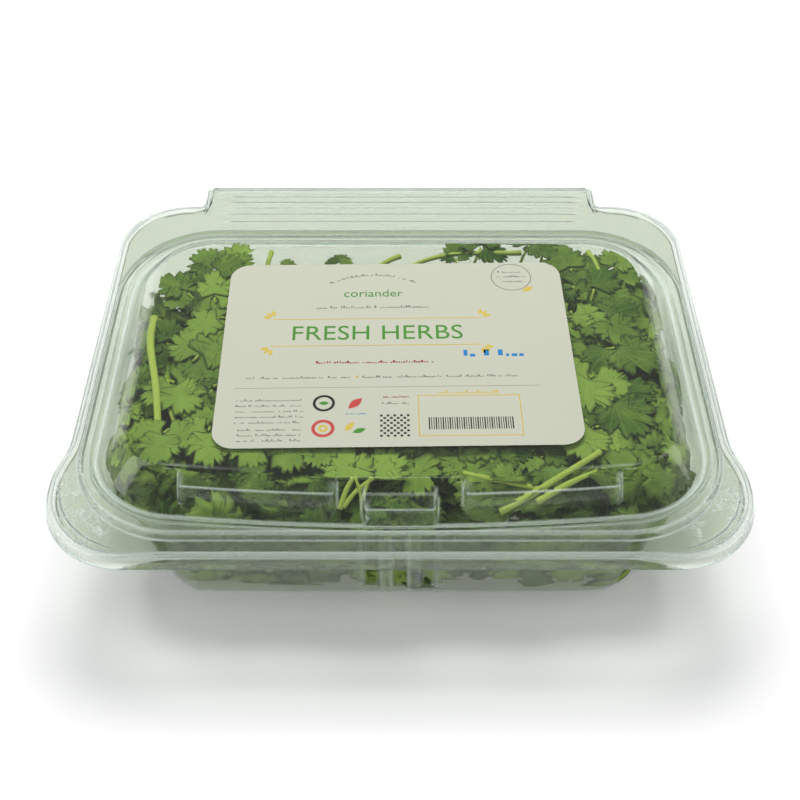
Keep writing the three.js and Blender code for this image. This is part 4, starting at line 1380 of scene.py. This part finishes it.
@dataclass
class Leaflets:
    """Collects leaflets of one detail, and makes them all at once."""

    detail: LeafDetail
    rng: np.random.Generator
    rows: list[tuple[float, ...]] = field(default_factory=list)

    def add(
        self, root: Spot, normal: Spot, heading: float, length: float, tone: float, margin: float = 0.3
    ) -> None:
        """Adds a leaflet.

        Args:
            root: the point where its stalk ends.
            normal: the way its upper face looks.
            heading: its direction, in degrees round the normal.
            length: from root to tip.
            tone: 0 for deep green to 1 for fresh green.
            margin: the clearance it keeps from the box.
        """
        self.rows.append((*root, *normal, heading, length, tone, margin))

    def compound(
        self, root: Spot, normal: Spot, heading: float, length: float, tone: float, margin: float = 0.3
    ) -> None:
        """Adds a leaf of three leaflets: one ahead and one on either side, a little behind it."""
        root = np.asarray(root, float)
        forward, left, _ = leaf_axes(np.array([normal], float), np.array([heading]))
        back = root - forward[0] * length * 0.18
        for side in (-1, 1):
            turn = side * self.rng.uniform(62, 84)
            spot = back + left[0] * side * length * 0.1
            shade = tone + self.rng.normal(-0.05, 0.12)
            self.add(spot, normal, heading + turn, length * self.rng.uniform(0.78, 0.9), shade, margin + 0.35)
        self.add(root, normal, heading, length, tone + self.rng.normal(0, 0.1), margin)

    def patch(self, sizes: BoxSizes, outline: Outline) -> Patch:
        """Makes every leaflet.

        With a the angle from the root and L the length, the edge lies at
        L (0.6 + 0.4 cos 1.05a) (1 - notches - teeth). Two deep notches part the three lobes, smaller ones
        part each lobe again, and the teeth are 1 - |sin| arches. Inner rings lie between the edge and a
        point 0.42 L ahead. The blade's height is a bow in the distance squared, three soft ripples and a
        fold along the midrib. The lower face is the same blade moved down, and both share the edge.

        Args:
            sizes: the box, which the leaflets are pressed into.
            outline: the box's outline.

        Returns:
            One patch with all the leaflets, uv in lengths from the root.
        """
        rng, count = self.rng, len(self.rows)
        edge_points, shares = self.detail.value
        table = np.array(self.rows, float)
        base, normals, headings = table[:, None, :3], table[:, 3:6], table[:, 6]
        length, tones, margins = table[:, 7:8], table[:, 8:9], table[:, 9:]
        a = np.linspace(-1.86, 1.86, edge_points - 1)[None]
        jitter = rng.normal(0, 1, (count, 8, 1))
        swept = np.abs(a + 0.03 * jitter[:, 0])
        notch = 0.4 * np.exp(-(((swept - 0.66 - 0.04 * jitter[:, 1]) / 0.09) ** 2))
        notch = notch * (1 + 0.2 * jitter[:, 2])
        for place, depth in ((0.22, 0.13), (1.04, 0.2), (1.42, 0.22)):
            notch = notch + depth * np.exp(-(((swept - place - 0.03 * jitter[:, 3]) / 0.06) ** 2))
        if self.detail is LeafDetail.COARSE:
            teeth = 0.1 * (np.arange(edge_points - 1) % 2)[None]
        else:
            teeth = 0.14 * (1 - np.abs(np.sin(np.pi * (a + 0.03 * jitter[:, 4]) / 0.19))) ** 1.3
        reach = length * (0.6 + 0.4 * np.cos(1.05 * a)) * (1 - np.clip(notch, 0, 0.55) - teeth)
        width = 0.92 + 0.08 * jitter[:, 5]
        edge = np.stack([reach * np.cos(a), reach * np.sin(a) * width], -1)
        edge = np.concatenate([edge, np.zeros((count, 1, 2))], axis=1)
        middle = np.stack([0.42 * length, 0 * length], -1)
        rings = [middle + (edge - middle) * s for s in (*shares, 1.0)]
        flat = np.concatenate([middle, *rings], axis=1)
        x, y = flat[..., 0] / length, flat[..., 1] / length
        far, angle = np.hypot(x, y), np.arctan2(y, x)
        bow, ripple, fold = -0.1 + 0.13 * jitter[:, 6], 0.05, 0.1 + 0.05 * jitter[:, 7]
        rise = bow * far**2 + ripple * np.cos(5 * angle + 3 * jitter[:, 0]) * far**2 + fold * np.abs(y)
        forward, left, up = leaf_axes(normals, headings)
        blade = base + flat[..., :1] * forward[:, None] + flat[..., 1:] * left[:, None]
        blade = blade + (rise * length)[..., None] * up[:, None]
        blade = sizes.press(blade, margins, outline)
        n = edge_points
        inner = 1 + n * len(shares)
        lower = blade[:, :inner] - 0.2 * up[:, None]
        points = np.concatenate([blade, lower], axis=1)
        i = np.arange(n)
        j = (i + 1) % n
        rim = inner + i
        top, under = [np.stack([0 * i, 1 + i, 1 + j], 1)], []
        for k in range(len(shares)):
            one, two = 1 + k * n, 1 + (k + 1) * n
            top.append(np.stack([one + i, two + i, two + j, one + j], 1))
        start = inner + n
        first = (start + 1 + i, start + 1 + j) if shares else (rim, inner + j)
        under.append(np.stack([start + 0 * i, first[1], first[0]], 1))
        for k in range(len(shares)):
            one = start + 1 + k * n
            two = start + 1 + (k + 1) * n if k + 1 < len(shares) else inner
            under.append(np.stack([one + j, two + j, two + i, one + i], 1))
        size = points.shape[1]
        shift = (np.arange(count) * size)[:, None, None]
        faces = [(f[None] + shift).reshape(-1, f.shape[1]) for f in top + under]
        uv = np.stack([x, y], -1)
        uv = np.concatenate([uv, uv[:, :inner]], axis=1).reshape(-1, 2)
        tone = np.repeat(tones, size, axis=1)
        below = np.zeros((count, size))
        below[:, start:] = 1
        below[:, inner:start] = 0.3
        return Patch(points.reshape(-1, 3), faces, uv, tone.ravel(), below.ravel())


def level_way(degrees: float) -> Array:
    """The level unit vector at this many degrees from +X."""
    return np.array([math.cos(math.radians(degrees)), math.sin(math.radians(degrees)), 0])


def leaf_axes(normals: Array, headings: Array) -> tuple[Array, Array, Array]:
    """The forward, left and up directions of leaves.

    The heading turns about the normal, from +X for a leaf that faces up or down and from +Z for one that
    faces sideways.

    Args:
        normals: one normal for each leaf.
        headings: one heading for each, in degrees.

    Returns:
        Three arrays of unit vectors.
    """
    up = unit(normals)
    steep = np.abs(up[:, 2:]) > 0.6
    start = np.where(steep, [1.0, 0.0, 0.0], [0.0, 0.0, 1.0])
    u = unit(start - (start * up).sum(1, keepdims=True) * up)
    v = np.cross(up, u)
    h = np.radians(headings)[:, None]
    forward = np.cos(h) * u + np.sin(h) * v
    return forward, np.cross(up, forward), up


def smooth_path(points: Array, count: int) -> Array:
    """A Catmull-Rom curve through the points, sampled evenly in its parameter.

    Between P1 and P2 it is half of 2 P1 + (P2 - P0) t + (2 P0 - 5 P1 + 4 P2 - P3) t^2 +
    (3 P1 - P0 - 3 P2 + P3) t^3.
    """
    points = np.asarray(points, float)
    ends = np.concatenate([[2 * points[0] - points[1]], points, [2 * points[-1] - points[-2]]])
    at = np.linspace(0, len(points) - 1, count)
    k = np.minimum(at.astype(int), len(points) - 2)
    t = (at - k)[:, None]
    p0, p1, p2, p3 = (ends[k + i] for i in range(4))
    square = (2 * p0 - 5 * p1 + 4 * p2 - p3) * t**2
    cube = (3 * p1 - p0 - 3 * p2 + p3) * t**3
    return 0.5 * (2 * p1 + (p2 - p0) * t + square + cube)


def stem_patch(
    points: Array, start: float, end: float, tone: float, sides: int = 8, count: int = 14
) -> Patch:
    """A closed tapering stem along a smooth path.

    Each section is a circle across the path, in a frame made from the path's direction and the axis that
    lies most across the whole stem. Its radius runs from start to end, with a slight swelling at both.

    Args:
        points: the points that it runs through.
        start: radius at the first point.
        end: radius at the last point.
        tone: 0 for greener to 1 for paler.
        sides: faces round it.
        count: sections along it.

    Returns:
        The patch, with u round the stem and v along it in millimetres.
    """
    path = smooth_path(points, count)
    chord = np.abs(path[-1] - path[0])
    across = np.eye(3)[int(np.argmin(chord))]
    along = unit(np.gradient(path, axis=0))
    one = unit(across - (along @ across)[:, None] * along)
    two = np.cross(along, one)
    t = np.linspace(0, 1, count)
    swelling = np.exp(-((t / 0.06) ** 2)) + np.exp(-(((1 - t) / 0.06) ** 2))
    radius = start + (end - start) * t + 0.12 * start * swelling
    a = np.linspace(0, 2 * np.pi, sides + 1)[:-1]
    circle = np.cos(a)[None, :, None] * one[:, None] + np.sin(a)[None, :, None] * two[:, None]
    skin = path[:, None] + circle * radius[:, None, None]
    tips = np.stack([path[0] - along[0] * 0.15 * start, path[-1] + along[-1] * 0.15 * end])
    points_out = np.concatenate([skin.reshape(-1, 3), tips])
    r, s = np.meshgrid(np.arange(count - 1), np.arange(sides), indexing="ij")
    q = (s + 1) % sides
    here, there = r * sides, (r + 1) * sides
    quads = np.stack([here + s, here + q, there + q, there + s], -1).reshape(-1, 4)
    i = np.arange(sides)
    j = (i + 1) % sides
    size = count * sides
    last = size - sides
    caps = [
        np.stack([j, i, np.full(sides, size)], 1),
        np.stack([last + i, last + j, np.full(sides, size + 1)], 1),
    ]
    length = np.concatenate([[0], np.cumsum(np.linalg.norm(np.diff(path, axis=0), axis=1))])
    round_it = np.abs(np.linspace(-1, 1, sides, endpoint=False))
    uv = np.stack(np.meshgrid(length, round_it, indexing="ij")[::-1], -1)
    uv = np.concatenate([uv.reshape(-1, 2), [[0, 0], [0, length[-1]]]])
    return Patch(points_out, [quads, *caps], uv, np.full(size + 2, tone), np.zeros(size + 2))


@dataclass
class Herbs:
    """All the coriander in the box: named sprigs, the leaves under the lid, those on the walls, the heap."""

    sizes: BoxSizes
    outline: Outline
    rng: np.random.Generator
    leaf: bpy.types.Material
    stem: bpy.types.Material
    # How many leaves lie on the floor, on the slopes, in the heap and on top of it, and the heap's stems.
    floor_leaves: int = 30
    slope_leaves: int = 150
    heap_leaves: int = 420
    crown_leaves: int = 90
    heap_stems: int = 46
    # Each sprig: the tip's x and y, the leaves' direction, the stem's direction from its tip, its length,
    # the three leaves' heights, their size, and -1 where their order is mirrored.
    sprigs: tuple = (
        (-55, 28, 176, -22, 80, (55.9, 50.4, 53.3), 17, 1),
        (-56, 3, 180, -8, 90, (54.6, 49.0, 52.0), 17.5, 1),
        (-56, -21, 186, 12, 86, (55.9, 50.4, 53.3), 16, 1),
        (-52, -38, 230, 42, 88, (54.6, 49.0, 52.0), 16, 1),
        (-28, -40, 264, 72, 74, (55.9, 50.4, 53.3), 14, 1),
        (-2, -41, 272, 98, 72, (54.6, 49.0, 52.0), 14, 1),
        (24, -40, 276, 108, 74, (55.9, 50.4, 53.3), 14, 1),
        (52, -38, 312, 140, 88, (54.6, 49.0, 52.0), 16, -1),
        (56, -21, -4, 168, 88, (55.9, 50.4, 53.3), 16, -1),
        (56, 3, 1, 186, 92, (54.6, 49.0, 52.0), 17, -1),
        (55, 28, 4, 204, 84, (55.9, 50.4, 53.3), 17, -1),
        (-20, 2, 120, -58, 46, (47.6, 45.6, 49.4), 19, 1),
        (24, -4, 60, 238, 44, (50.4, 48.2, 46.6), 19, 1),
    )
    # Leaves that show through the lid: x, y, height, direction, leaflet length, tone.
    left: tuple = (
        (-66, 31, 56.6, 118, 13, 0.45),
        (-61, 37, 55.2, 60, 11, 0.7),
        (-64, 17, 57.0, 95, 13, 0.85),
        (-75, 20, 55.4, 150, 12, 0.4),
        (-62, 5, 56.8, 205, 12, 0.75),
        (-65, -12, 57.0, 35, 16, 0.6),
        (-72, -26, 56.6, 300, 14, 0.6),
        (-80, -3, 53.0, 172, 11, 0.3),
        (-80, -20, 53.4, 188, 12, 0.35),
        (-85, 12, 50.5, 160, 8, 0.35),
        (-87.5, -30, 51.4, 255, 12, 1.0),
        (-86.5, -43, 51.4, 262, 13, 1.0),
        (-60, -28, 56.9, 250, 15, 0.7),
    )
    front: tuple = (
        (-73, -48, 57.0, 262, 12, 0.8),
        (-59, -47, 57.0, 275, 13, 0.8),
        (-47, -49, 56.9, 285, 12, 0.85),
        (-34, -49, 57.0, 272, 13, 0.8),
        (-24, -50, 56.6, 262, 11, 0.55),
        (-14, -65, 56.9, 112, 16, 1.0),
        (-8, -65, 56.9, 62, 15, 0.95),
        (4, -55, 54.0, 280, 14, 0.6),
        (18, -54, 54.6, 300, 14, 0.55),
        (30, -52, 55.0, 260, 12, 0.45),
        (44, -56, 54.4, 290, 13, 0.5),
        (-40, -62, 50.0, 265, 13, 0.35),
        (-8, -66, 49.6, 255, 13, 0.4),
        (34, -64, 50.0, 285, 13, 0.4),
    )
    right: tuple = (
        (58, 6, 57.0, 262, 15, 0.9),
        (70, 4, 56.4, 300, 14, 0.5),
        (72, -10, 56.8, 330, 16, 0.3),
        (61, -24, 57.0, 245, 15, 0.8),
        (68, -34, 56.8, 300, 16, 0.4),
        (60, -45, 56.6, 225, 14, 0.85),
        (78, -36, 53.6, 85, 13, 0.9),
        (74, -57, 53.2, 330, 14, 0.85),
        (68, -60, 52.0, 300, 13, 0.75),
        (68, 22, 56.2, 70, 14, 0.5),
        (60, 33, 56.0, 110, 14, 0.45),
        (76, 34, 54.4, 60, 12, 0.5),
        (84, 8, 51.0, 20, 9, 0.6),
    )
    back: tuple = (
        (-22, 37, 54.0, 85, 6, 0.4),
        (-40, 36, 53.0, 110, 5, 0.5),
        (20, 42, 53.4, 95, 7, 0.35),
        (30, 46, 54.6, 60, 11, 0.3),
        (48, 47, 54.6, 50, 12, 0.3),
        (53, 49, 53.0, 75, 10, 0.25),
    )
    # Bare stems that show: their points and the radii at both ends.
    showing: tuple = (
        (((-84, 8, 53.6), (-83, -6, 55.6), (-78, -28, 55.8), (-75, -46, 54.4)), 1.35, 1.15),
        (((-76, -20, 53.6), (-73, -34, 53.6), (-68, -46, 53.0)), 0.9, 0.8),
        (((61, -54, 56.0), (50, -61, 54.4), (41, -66, 52.0), (30, -72.5, 48.6)), 0.95, 1.15),
        (((66, -57, 54.0), (53, -63, 53.6), (41, -68.6, 50.4)), 0.7, 1.05),
        (((14, -58, 52.6), (26, -62, 53.4), (42, -65, 52.0)), 0.9, 0.8),
        (((-14, -64, 56.0), (-16, -68, 53.6), (-18, -72.5, 49.4)), 0.7, 0.9),
        (((-8, -64, 56.0), (-13, -67.5, 53.4), (-17, -72, 49.8)), 0.6, 0.8),
        (((-48, 34, 50.0), (-47.5, 38, 52.6), (-46.5, 43.5, 53.4)), 0.8, 0.9),
        (((-12, 33, 52.0), (-4, 39, 53.0), (0, 41.5, 53.0)), 0.9, 1.0),
        (((2, 36, 52.0), (12, 41, 52.6), (24, 43, 53.0), (44, 43, 53.2)), 0.8, 0.9),
        (((72, 24, 53.0), (70, 36, 54.0), (68, 43, 53.6)), 0.9, 1.0),
    )

    def dress(self, name: str, patch: Patch, kind: str, *nodes: str) -> None:
        """Makes a piece of leaf or stem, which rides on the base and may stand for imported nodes."""
        material = self.leaf if kind == "leaf_green" else self.stem
        piece = make_piece(name, patch, material)
        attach(piece, "base")
        if nodes:
            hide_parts(*nodes)

    def pressed(self, points: list, margin: float) -> Array:
        """A path's points, kept inside the box."""
        return self.sizes.press(np.asarray(points, float), margin, self.outline)

    def build_sprigs(self) -> None:
        """Makes the sprigs: a stem on its own layer, and three leaves of three leaflets on long stalks."""
        for number, (x, y, grows, lies, run, levels, size, hand) in enumerate(self.sprigs, 1):
            name = f"sprig_{number:02d}"
            height = 2.3 + 2.95 * (number - 1)
            tip = np.array([x, y, height], float)
            along = level_way(lies)
            aside = np.array([-along[1], along[0], 0]) * (-5 if number % 2 else 5)
            middle = tip + along * run / 2 + aside
            cut = tip + along * run
            stems = [stem_patch(self.pressed([cut, middle, tip], 1.6), 1.45, 1.15, 0.75)]
            leaves = Leaflets(LeafDetail.MEDIUM, self.rng)
            for level, turn, scale in zip(levels, (54, 3, -52), (1, 1, 0.7)):
                heading = grows + turn * hand
                away = level_way(heading)
                head = tip + away * 8.5
                head[2] = level
                bend = tip + away * 4.2
                bend[2] = height + (level - height) * 0.45
                stems.append(stem_patch(self.pressed([tip, bend, head], 0.9), 0.85, 0.55, 0.6, 7, 10))
                tilt = [0.2 * away[0], 0.2 * away[1], 1]
                leaves.compound(head, tilt, heading, size * scale * 0.72, 0.35 + 0.4 * self.rng.random(), 1.4)
            self.dress(f"{name}_stalks", Patch.joined(stems), "stem_green", f"{name}_stem")
            nodes = [f"{name}_leaf_{part}" for part in "abc"]
            self.dress(f"{name}_leaves", leaves.patch(self.sizes, self.outline), "leaf_green", *nodes)

    def build_showing(self) -> None:
        """Makes the leaves and stems that show through the lid."""
        stalks = [stem_patch(self.pressed(points, 1.2), a, b, 0.95, 10, 18) for points, a, b in self.showing]
        for zone in ("left", "front", "right", "back"):
            leaves = Leaflets(LeafDetail.FINE, self.rng)
            for rank, (x, y, z, heading, length, tone) in enumerate(getattr(self, zone)):
                lean = self.rng.normal(0, 0.1, 2)
                margin = 0.3 + 0.19 * rank if z > 51.5 else 0.4
                leaves.compound((x, y, z), (*lean, 1), heading, length, tone, margin)
                away = level_way(heading)
                head = np.array([x, y, z - 0.4])
                points = [head - away * 1.5, head - away * 6 - [0, 0, 4], head - away * 9 - [0, 0, 14]]
                stalks.append(stem_patch(self.pressed(points, 1.0), 0.45, 0.7, 0.7, 7, 9))
            self.dress(f"top_leaves_{zone}", leaves.patch(self.sizes, self.outline), "leaf_green")
        self.dress("top_stalks", Patch.joined(stalks), "stem_green")

    def build_wall_leaves(self) -> None:
        """Makes leaves that lie flat against the tray's front, side and back walls and its floor."""
        rng = self.rng
        leaves = Leaflets(LeafDetail.MEDIUM, rng)
        faces = [
            ((0, -1, 0), lambda z: (rng.uniform(-78, 78), float(self.sizes.wall(z)[1]) + 1.5), 130),
            ((1, 0, 0), lambda z: (float(self.sizes.wall(z)[0]) - 1.5, rng.uniform(-56, 34)), 48),
            ((-1, 0, 0), lambda z: (-float(self.sizes.wall(z)[0]) + 1.5, rng.uniform(-56, 34)), 48),
            ((0, 1, 0), lambda z: (rng.uniform(-78, 78), float(self.sizes.wall(z)[2]) - 1.5), 90),
        ]
        for normal, place, count in faces:
            for _ in range(count):
                z = 3 + (17 if normal[1] > 0 else 40) * rng.random() ** 1.8
                x, y = place(z)
                lean = np.array(normal) + rng.normal(0, 0.25, 3)
                margin = rng.uniform(0.5, 6.0)
                heading, size, tone = rng.uniform(0, 360), rng.uniform(11, 17), rng.uniform(0.2, 0.8)
                leaves.add((x, y, z), lean, heading, size, tone, margin)
        for _ in range(self.floor_leaves):
            x, y = rng.uniform(-70, 70), rng.uniform(-58, 26)
            lean = (*rng.normal(0, 0.2, 2), -1)
            leaves.add((x, y, 3.0), lean, rng.uniform(0, 360), rng.uniform(12, 18), 0.4, rng.uniform(0.6, 3))
        self.dress("wall_leaves", leaves.patch(self.sizes, self.outline), "leaf_green")

    def build_slope_leaves(self) -> None:
        """Makes leaves that fill the dome's slopes and the top of the walls, all round but the back.

        Each sits on a ring of the box's outline and leans outwards as the slope does.
        """
        o, rng, mouth = self.outline, self.rng, self.sizes.mouth
        choice = np.flatnonzero(~o.on(Run.BACK, Run.BACK_LEFT, Run.BACK_RIGHT))
        length = np.linalg.norm(np.roll(o.rect(mouth, 0.0), -1, axis=0) - o.rect(mouth, 0.0), axis=1)[choice]
        outward = unit(o.rect(mouth.inset(2), 0.0) - o.rect(mouth.inset(14), 0.0))
        leaves = Leaflets(LeafDetail.MEDIUM, rng)
        for _ in range(self.slope_leaves):
            at = int(rng.choice(choice, p=length / length.sum()))
            z = rng.uniform(37, 55)
            spot = o.rect(mouth.inset(rng.uniform(3, 13)), z, bow=self.sizes.mouth_bow)[at]
            lean = outward[at] * rng.uniform(0.3, 1.1) + [0, 0, 0.8] + rng.normal(0, 0.2, 3)
            tone = rng.uniform(0.3, 0.85)
            leaves.add(spot, lean, rng.uniform(0, 360), rng.uniform(11, 16), tone, rng.uniform(0.8, 4.0))
        self.dress("slope_leaves", leaves.patch(self.sizes, self.outline), "leaf_green")

    def build_heap(self) -> None:
        """Makes the loose heap between: many simple leaflets and cut stems at all angles."""
        rng = self.rng
        leaves = Leaflets(LeafDetail.COARSE, rng)
        for _ in range(self.heap_leaves):
            z = rng.uniform(4, 53)
            half, front, back = (float(v) for v in self.sizes.wall(z))
            x = rng.uniform(-half + 8, half - 8)
            y = rng.uniform(front + 6, back - 7)
            z = min(z, 38 - 1.07 * (y - 31.7)) if y > 24 else z
            normal = (*rng.normal(0, 0.7, 2), 1)
            # Lower in the heap the leaves are a deeper green: painted shade under the leaves above. Higher up
            # the tone spreads at random.
            tone = 0.15 + 0.6 * (z / 53) * rng.random()
            leaves.add((x, y, z), normal, rng.uniform(0, 360), rng.uniform(12, 18), tone, rng.uniform(2.5, 5))
        for _ in range(self.crown_leaves):
            spot = (rng.uniform(-52, 52), rng.uniform(-46, 22), rng.uniform(44, 53))
            lean = (*rng.normal(0, 0.35, 2), 1)
            leaves.add(spot, lean, rng.uniform(0, 360), rng.uniform(13, 18), rng.uniform(0.3, 0.8), 3.0)
        self.dress("heap_leaves", leaves.patch(self.sizes, self.outline), "leaf_green")
        stems = []
        for _ in range(self.heap_stems):
            centre = np.array([rng.uniform(-50, 50), rng.uniform(-48, 20), rng.uniform(5, 48)])
            angle = rng.uniform(0, math.pi)
            reach = np.array([math.cos(angle), math.sin(angle), rng.normal(0, 0.12)]) * rng.uniform(22, 48)
            sag = np.array([rng.normal(0, 4), rng.normal(0, 4), rng.normal(0, 2)])
            points = self.pressed([centre - reach, centre + sag, centre + reach], 2.2)
            points[:, 1] = np.minimum(points[:, 1], 34)
            stems.append(stem_patch(points, 1.3, 0.8, rng.uniform(0.3, 0.9), 7, 10))
        self.dress("heap_stems", Patch.joined(stems), "stem_green")

    def build(self) -> None:
        """Builds all the herbs in order."""
        self.build_sprigs()
        self.build_showing()
        self.build_wall_leaves()
        self.build_slope_leaves()
        self.build_heap()


# ---------------------------------------------------------------- surroundings


@dataclass
class Studio:
    """A pale floor, soft lamps and the camera."""

    camera_at: tuple[float, float, float] = (0.0, -288.6, 331.0)
    pitch_down: float = 47.0
    lens: float = 53.3
    floor_half: float = 4000.0
    floor_colour: tuple[float, float, float] = (0.93, 0.93, 0.93)
    world: tuple[float, float] = (0.7, 0.13)

    def floor(self) -> None:
        """A large plain pale square with a faint speckle."""
        h = self.floor_half
        points = np.array([[-h, -h, 0], [h, -h, 0], [h, h, 0], [-h, h, 0]], float)
        mat = PaperFinish("pale_floor", self.floor_colour, 0.6, 0.004).material()
        shader = next(n for n in mat.node_tree.nodes if n.type == "BSDF_PRINCIPLED")
        shader.inputs["Emission Color"].default_value = (1, 1, 1, 1)
        shader.inputs["Emission Strength"].default_value = 0.17
        make_piece("floor", Patch.plain(points, [np.array([[0, 1, 2, 3]])]), mat)

    def lamp(self, name: str, at: tuple, size: tuple, power: float, mirrored: bool = True) -> None:
        """A rectangular soft lamp that faces the box.

        Args:
            name: its name.
            at: its place in millimetres.
            size: its width and height in metres.
            power: watts.
            mirrored: whether glossy surfaces show it.
        """
        data = bpy.data.lights.new(name, "AREA")
        data.shape = "RECTANGLE"
        data.size, data.size_y = size
        data.energy = power
        lamp = bpy.data.objects.new(name, data)
        lamp.visible_glossy = lamp.visible_transmission = mirrored
        lamp.location = Vector(at) * MM
        aim = Vector((0, -0.01, 0.03)) - lamp.location
        lamp.rotation_euler = aim.to_track_quat("-Z", "Y").to_euler()
        bpy.context.scene.collection.objects.link(lamp)

    def build(self) -> None:
        """Sets up floor, world, lamps and camera."""
        self.floor()
        world = bpy.data.worlds.new("soft_room")
        world.use_nodes = True
        nodes = Nodes(world.node_tree)
        way = nodes.new("ShaderNodeSeparateXYZ")
        nodes.put(way.inputs[0], nodes.new("ShaderNodeTexCoord").outputs["Generated"])
        sky = nodes.new("ShaderNodeBackground")
        sky.inputs[0].default_value = (0.97, 0.99, 1.0, 1)
        nodes.put(sky.inputs[1], nodes.between(way.outputs[2], 0.1, 0.6, *self.world))
        nodes.put(nodes.new("ShaderNodeOutputWorld").inputs[0], sky.outputs[0])
        bpy.context.scene.world = world
        self.lamp("overhead", (-20, 330, 850), (0.5, 0.3), 6.5, mirrored=False)
        self.lamp("front_strip", (0, -420, 1000), (1.1, 0.13), 1.1)
        self.lamp("left_window", (-900, -200, 600), (0.35, 0.9), 1.6)
        self.lamp("right_fill", (850, 100, 500), (0.3, 0.8), 0.9)
        data = bpy.data.cameras.new("camera")
        data.lens = self.lens
        data.sensor_width = 36.0
        data.clip_start = 0.01
        camera = bpy.data.objects.new("camera", data)
        camera.location = Vector(self.camera_at) * MM
        camera.rotation_euler = (math.radians(90 - self.pitch_down), 0, 0)
        bpy.context.scene.collection.objects.link(camera)
        bpy.context.scene.camera = camera
        bpy.context.scene.view_settings.view_transform = "Standard"


def main() -> None:
    """Builds the studio, the box, its label and the herbs, in that order."""
    logging.basicConfig(level=logging.INFO, format="%(name)s %(message)s")
    rng = np.random.default_rng(SEED)
    Studio().build()
    scuffs_and_highlights, mottle = scuffs_and_highlight_group(), mottle_group()
    sizes, outline = BoxSizes(), Outline()
    lid_sheet = ClearSheet("clear_lid").material(scuffs_and_highlights)
    tray_sheet = ClearSheet("frosted_tray", clear=0.95, roughness=0.06).material(scuffs_and_highlights)
    Lid(sizes, outline).build(lid_sheet)
    Tray(sizes, outline).build(tray_sheet)
    Fold(sizes).build(lid_sheet)
    Label(sizes, rng).build(PaperFinish("cream_paper", (0.585, 0.595, 0.485)).material())
    leaf = LeafFinish("coriander_leaf").material(mottle)
    stem = StemFinish("coriander_stem").material(mottle)
    Herbs(sizes, outline, rng, leaf, stem).build()


if __name__ == "__main__":
    main()
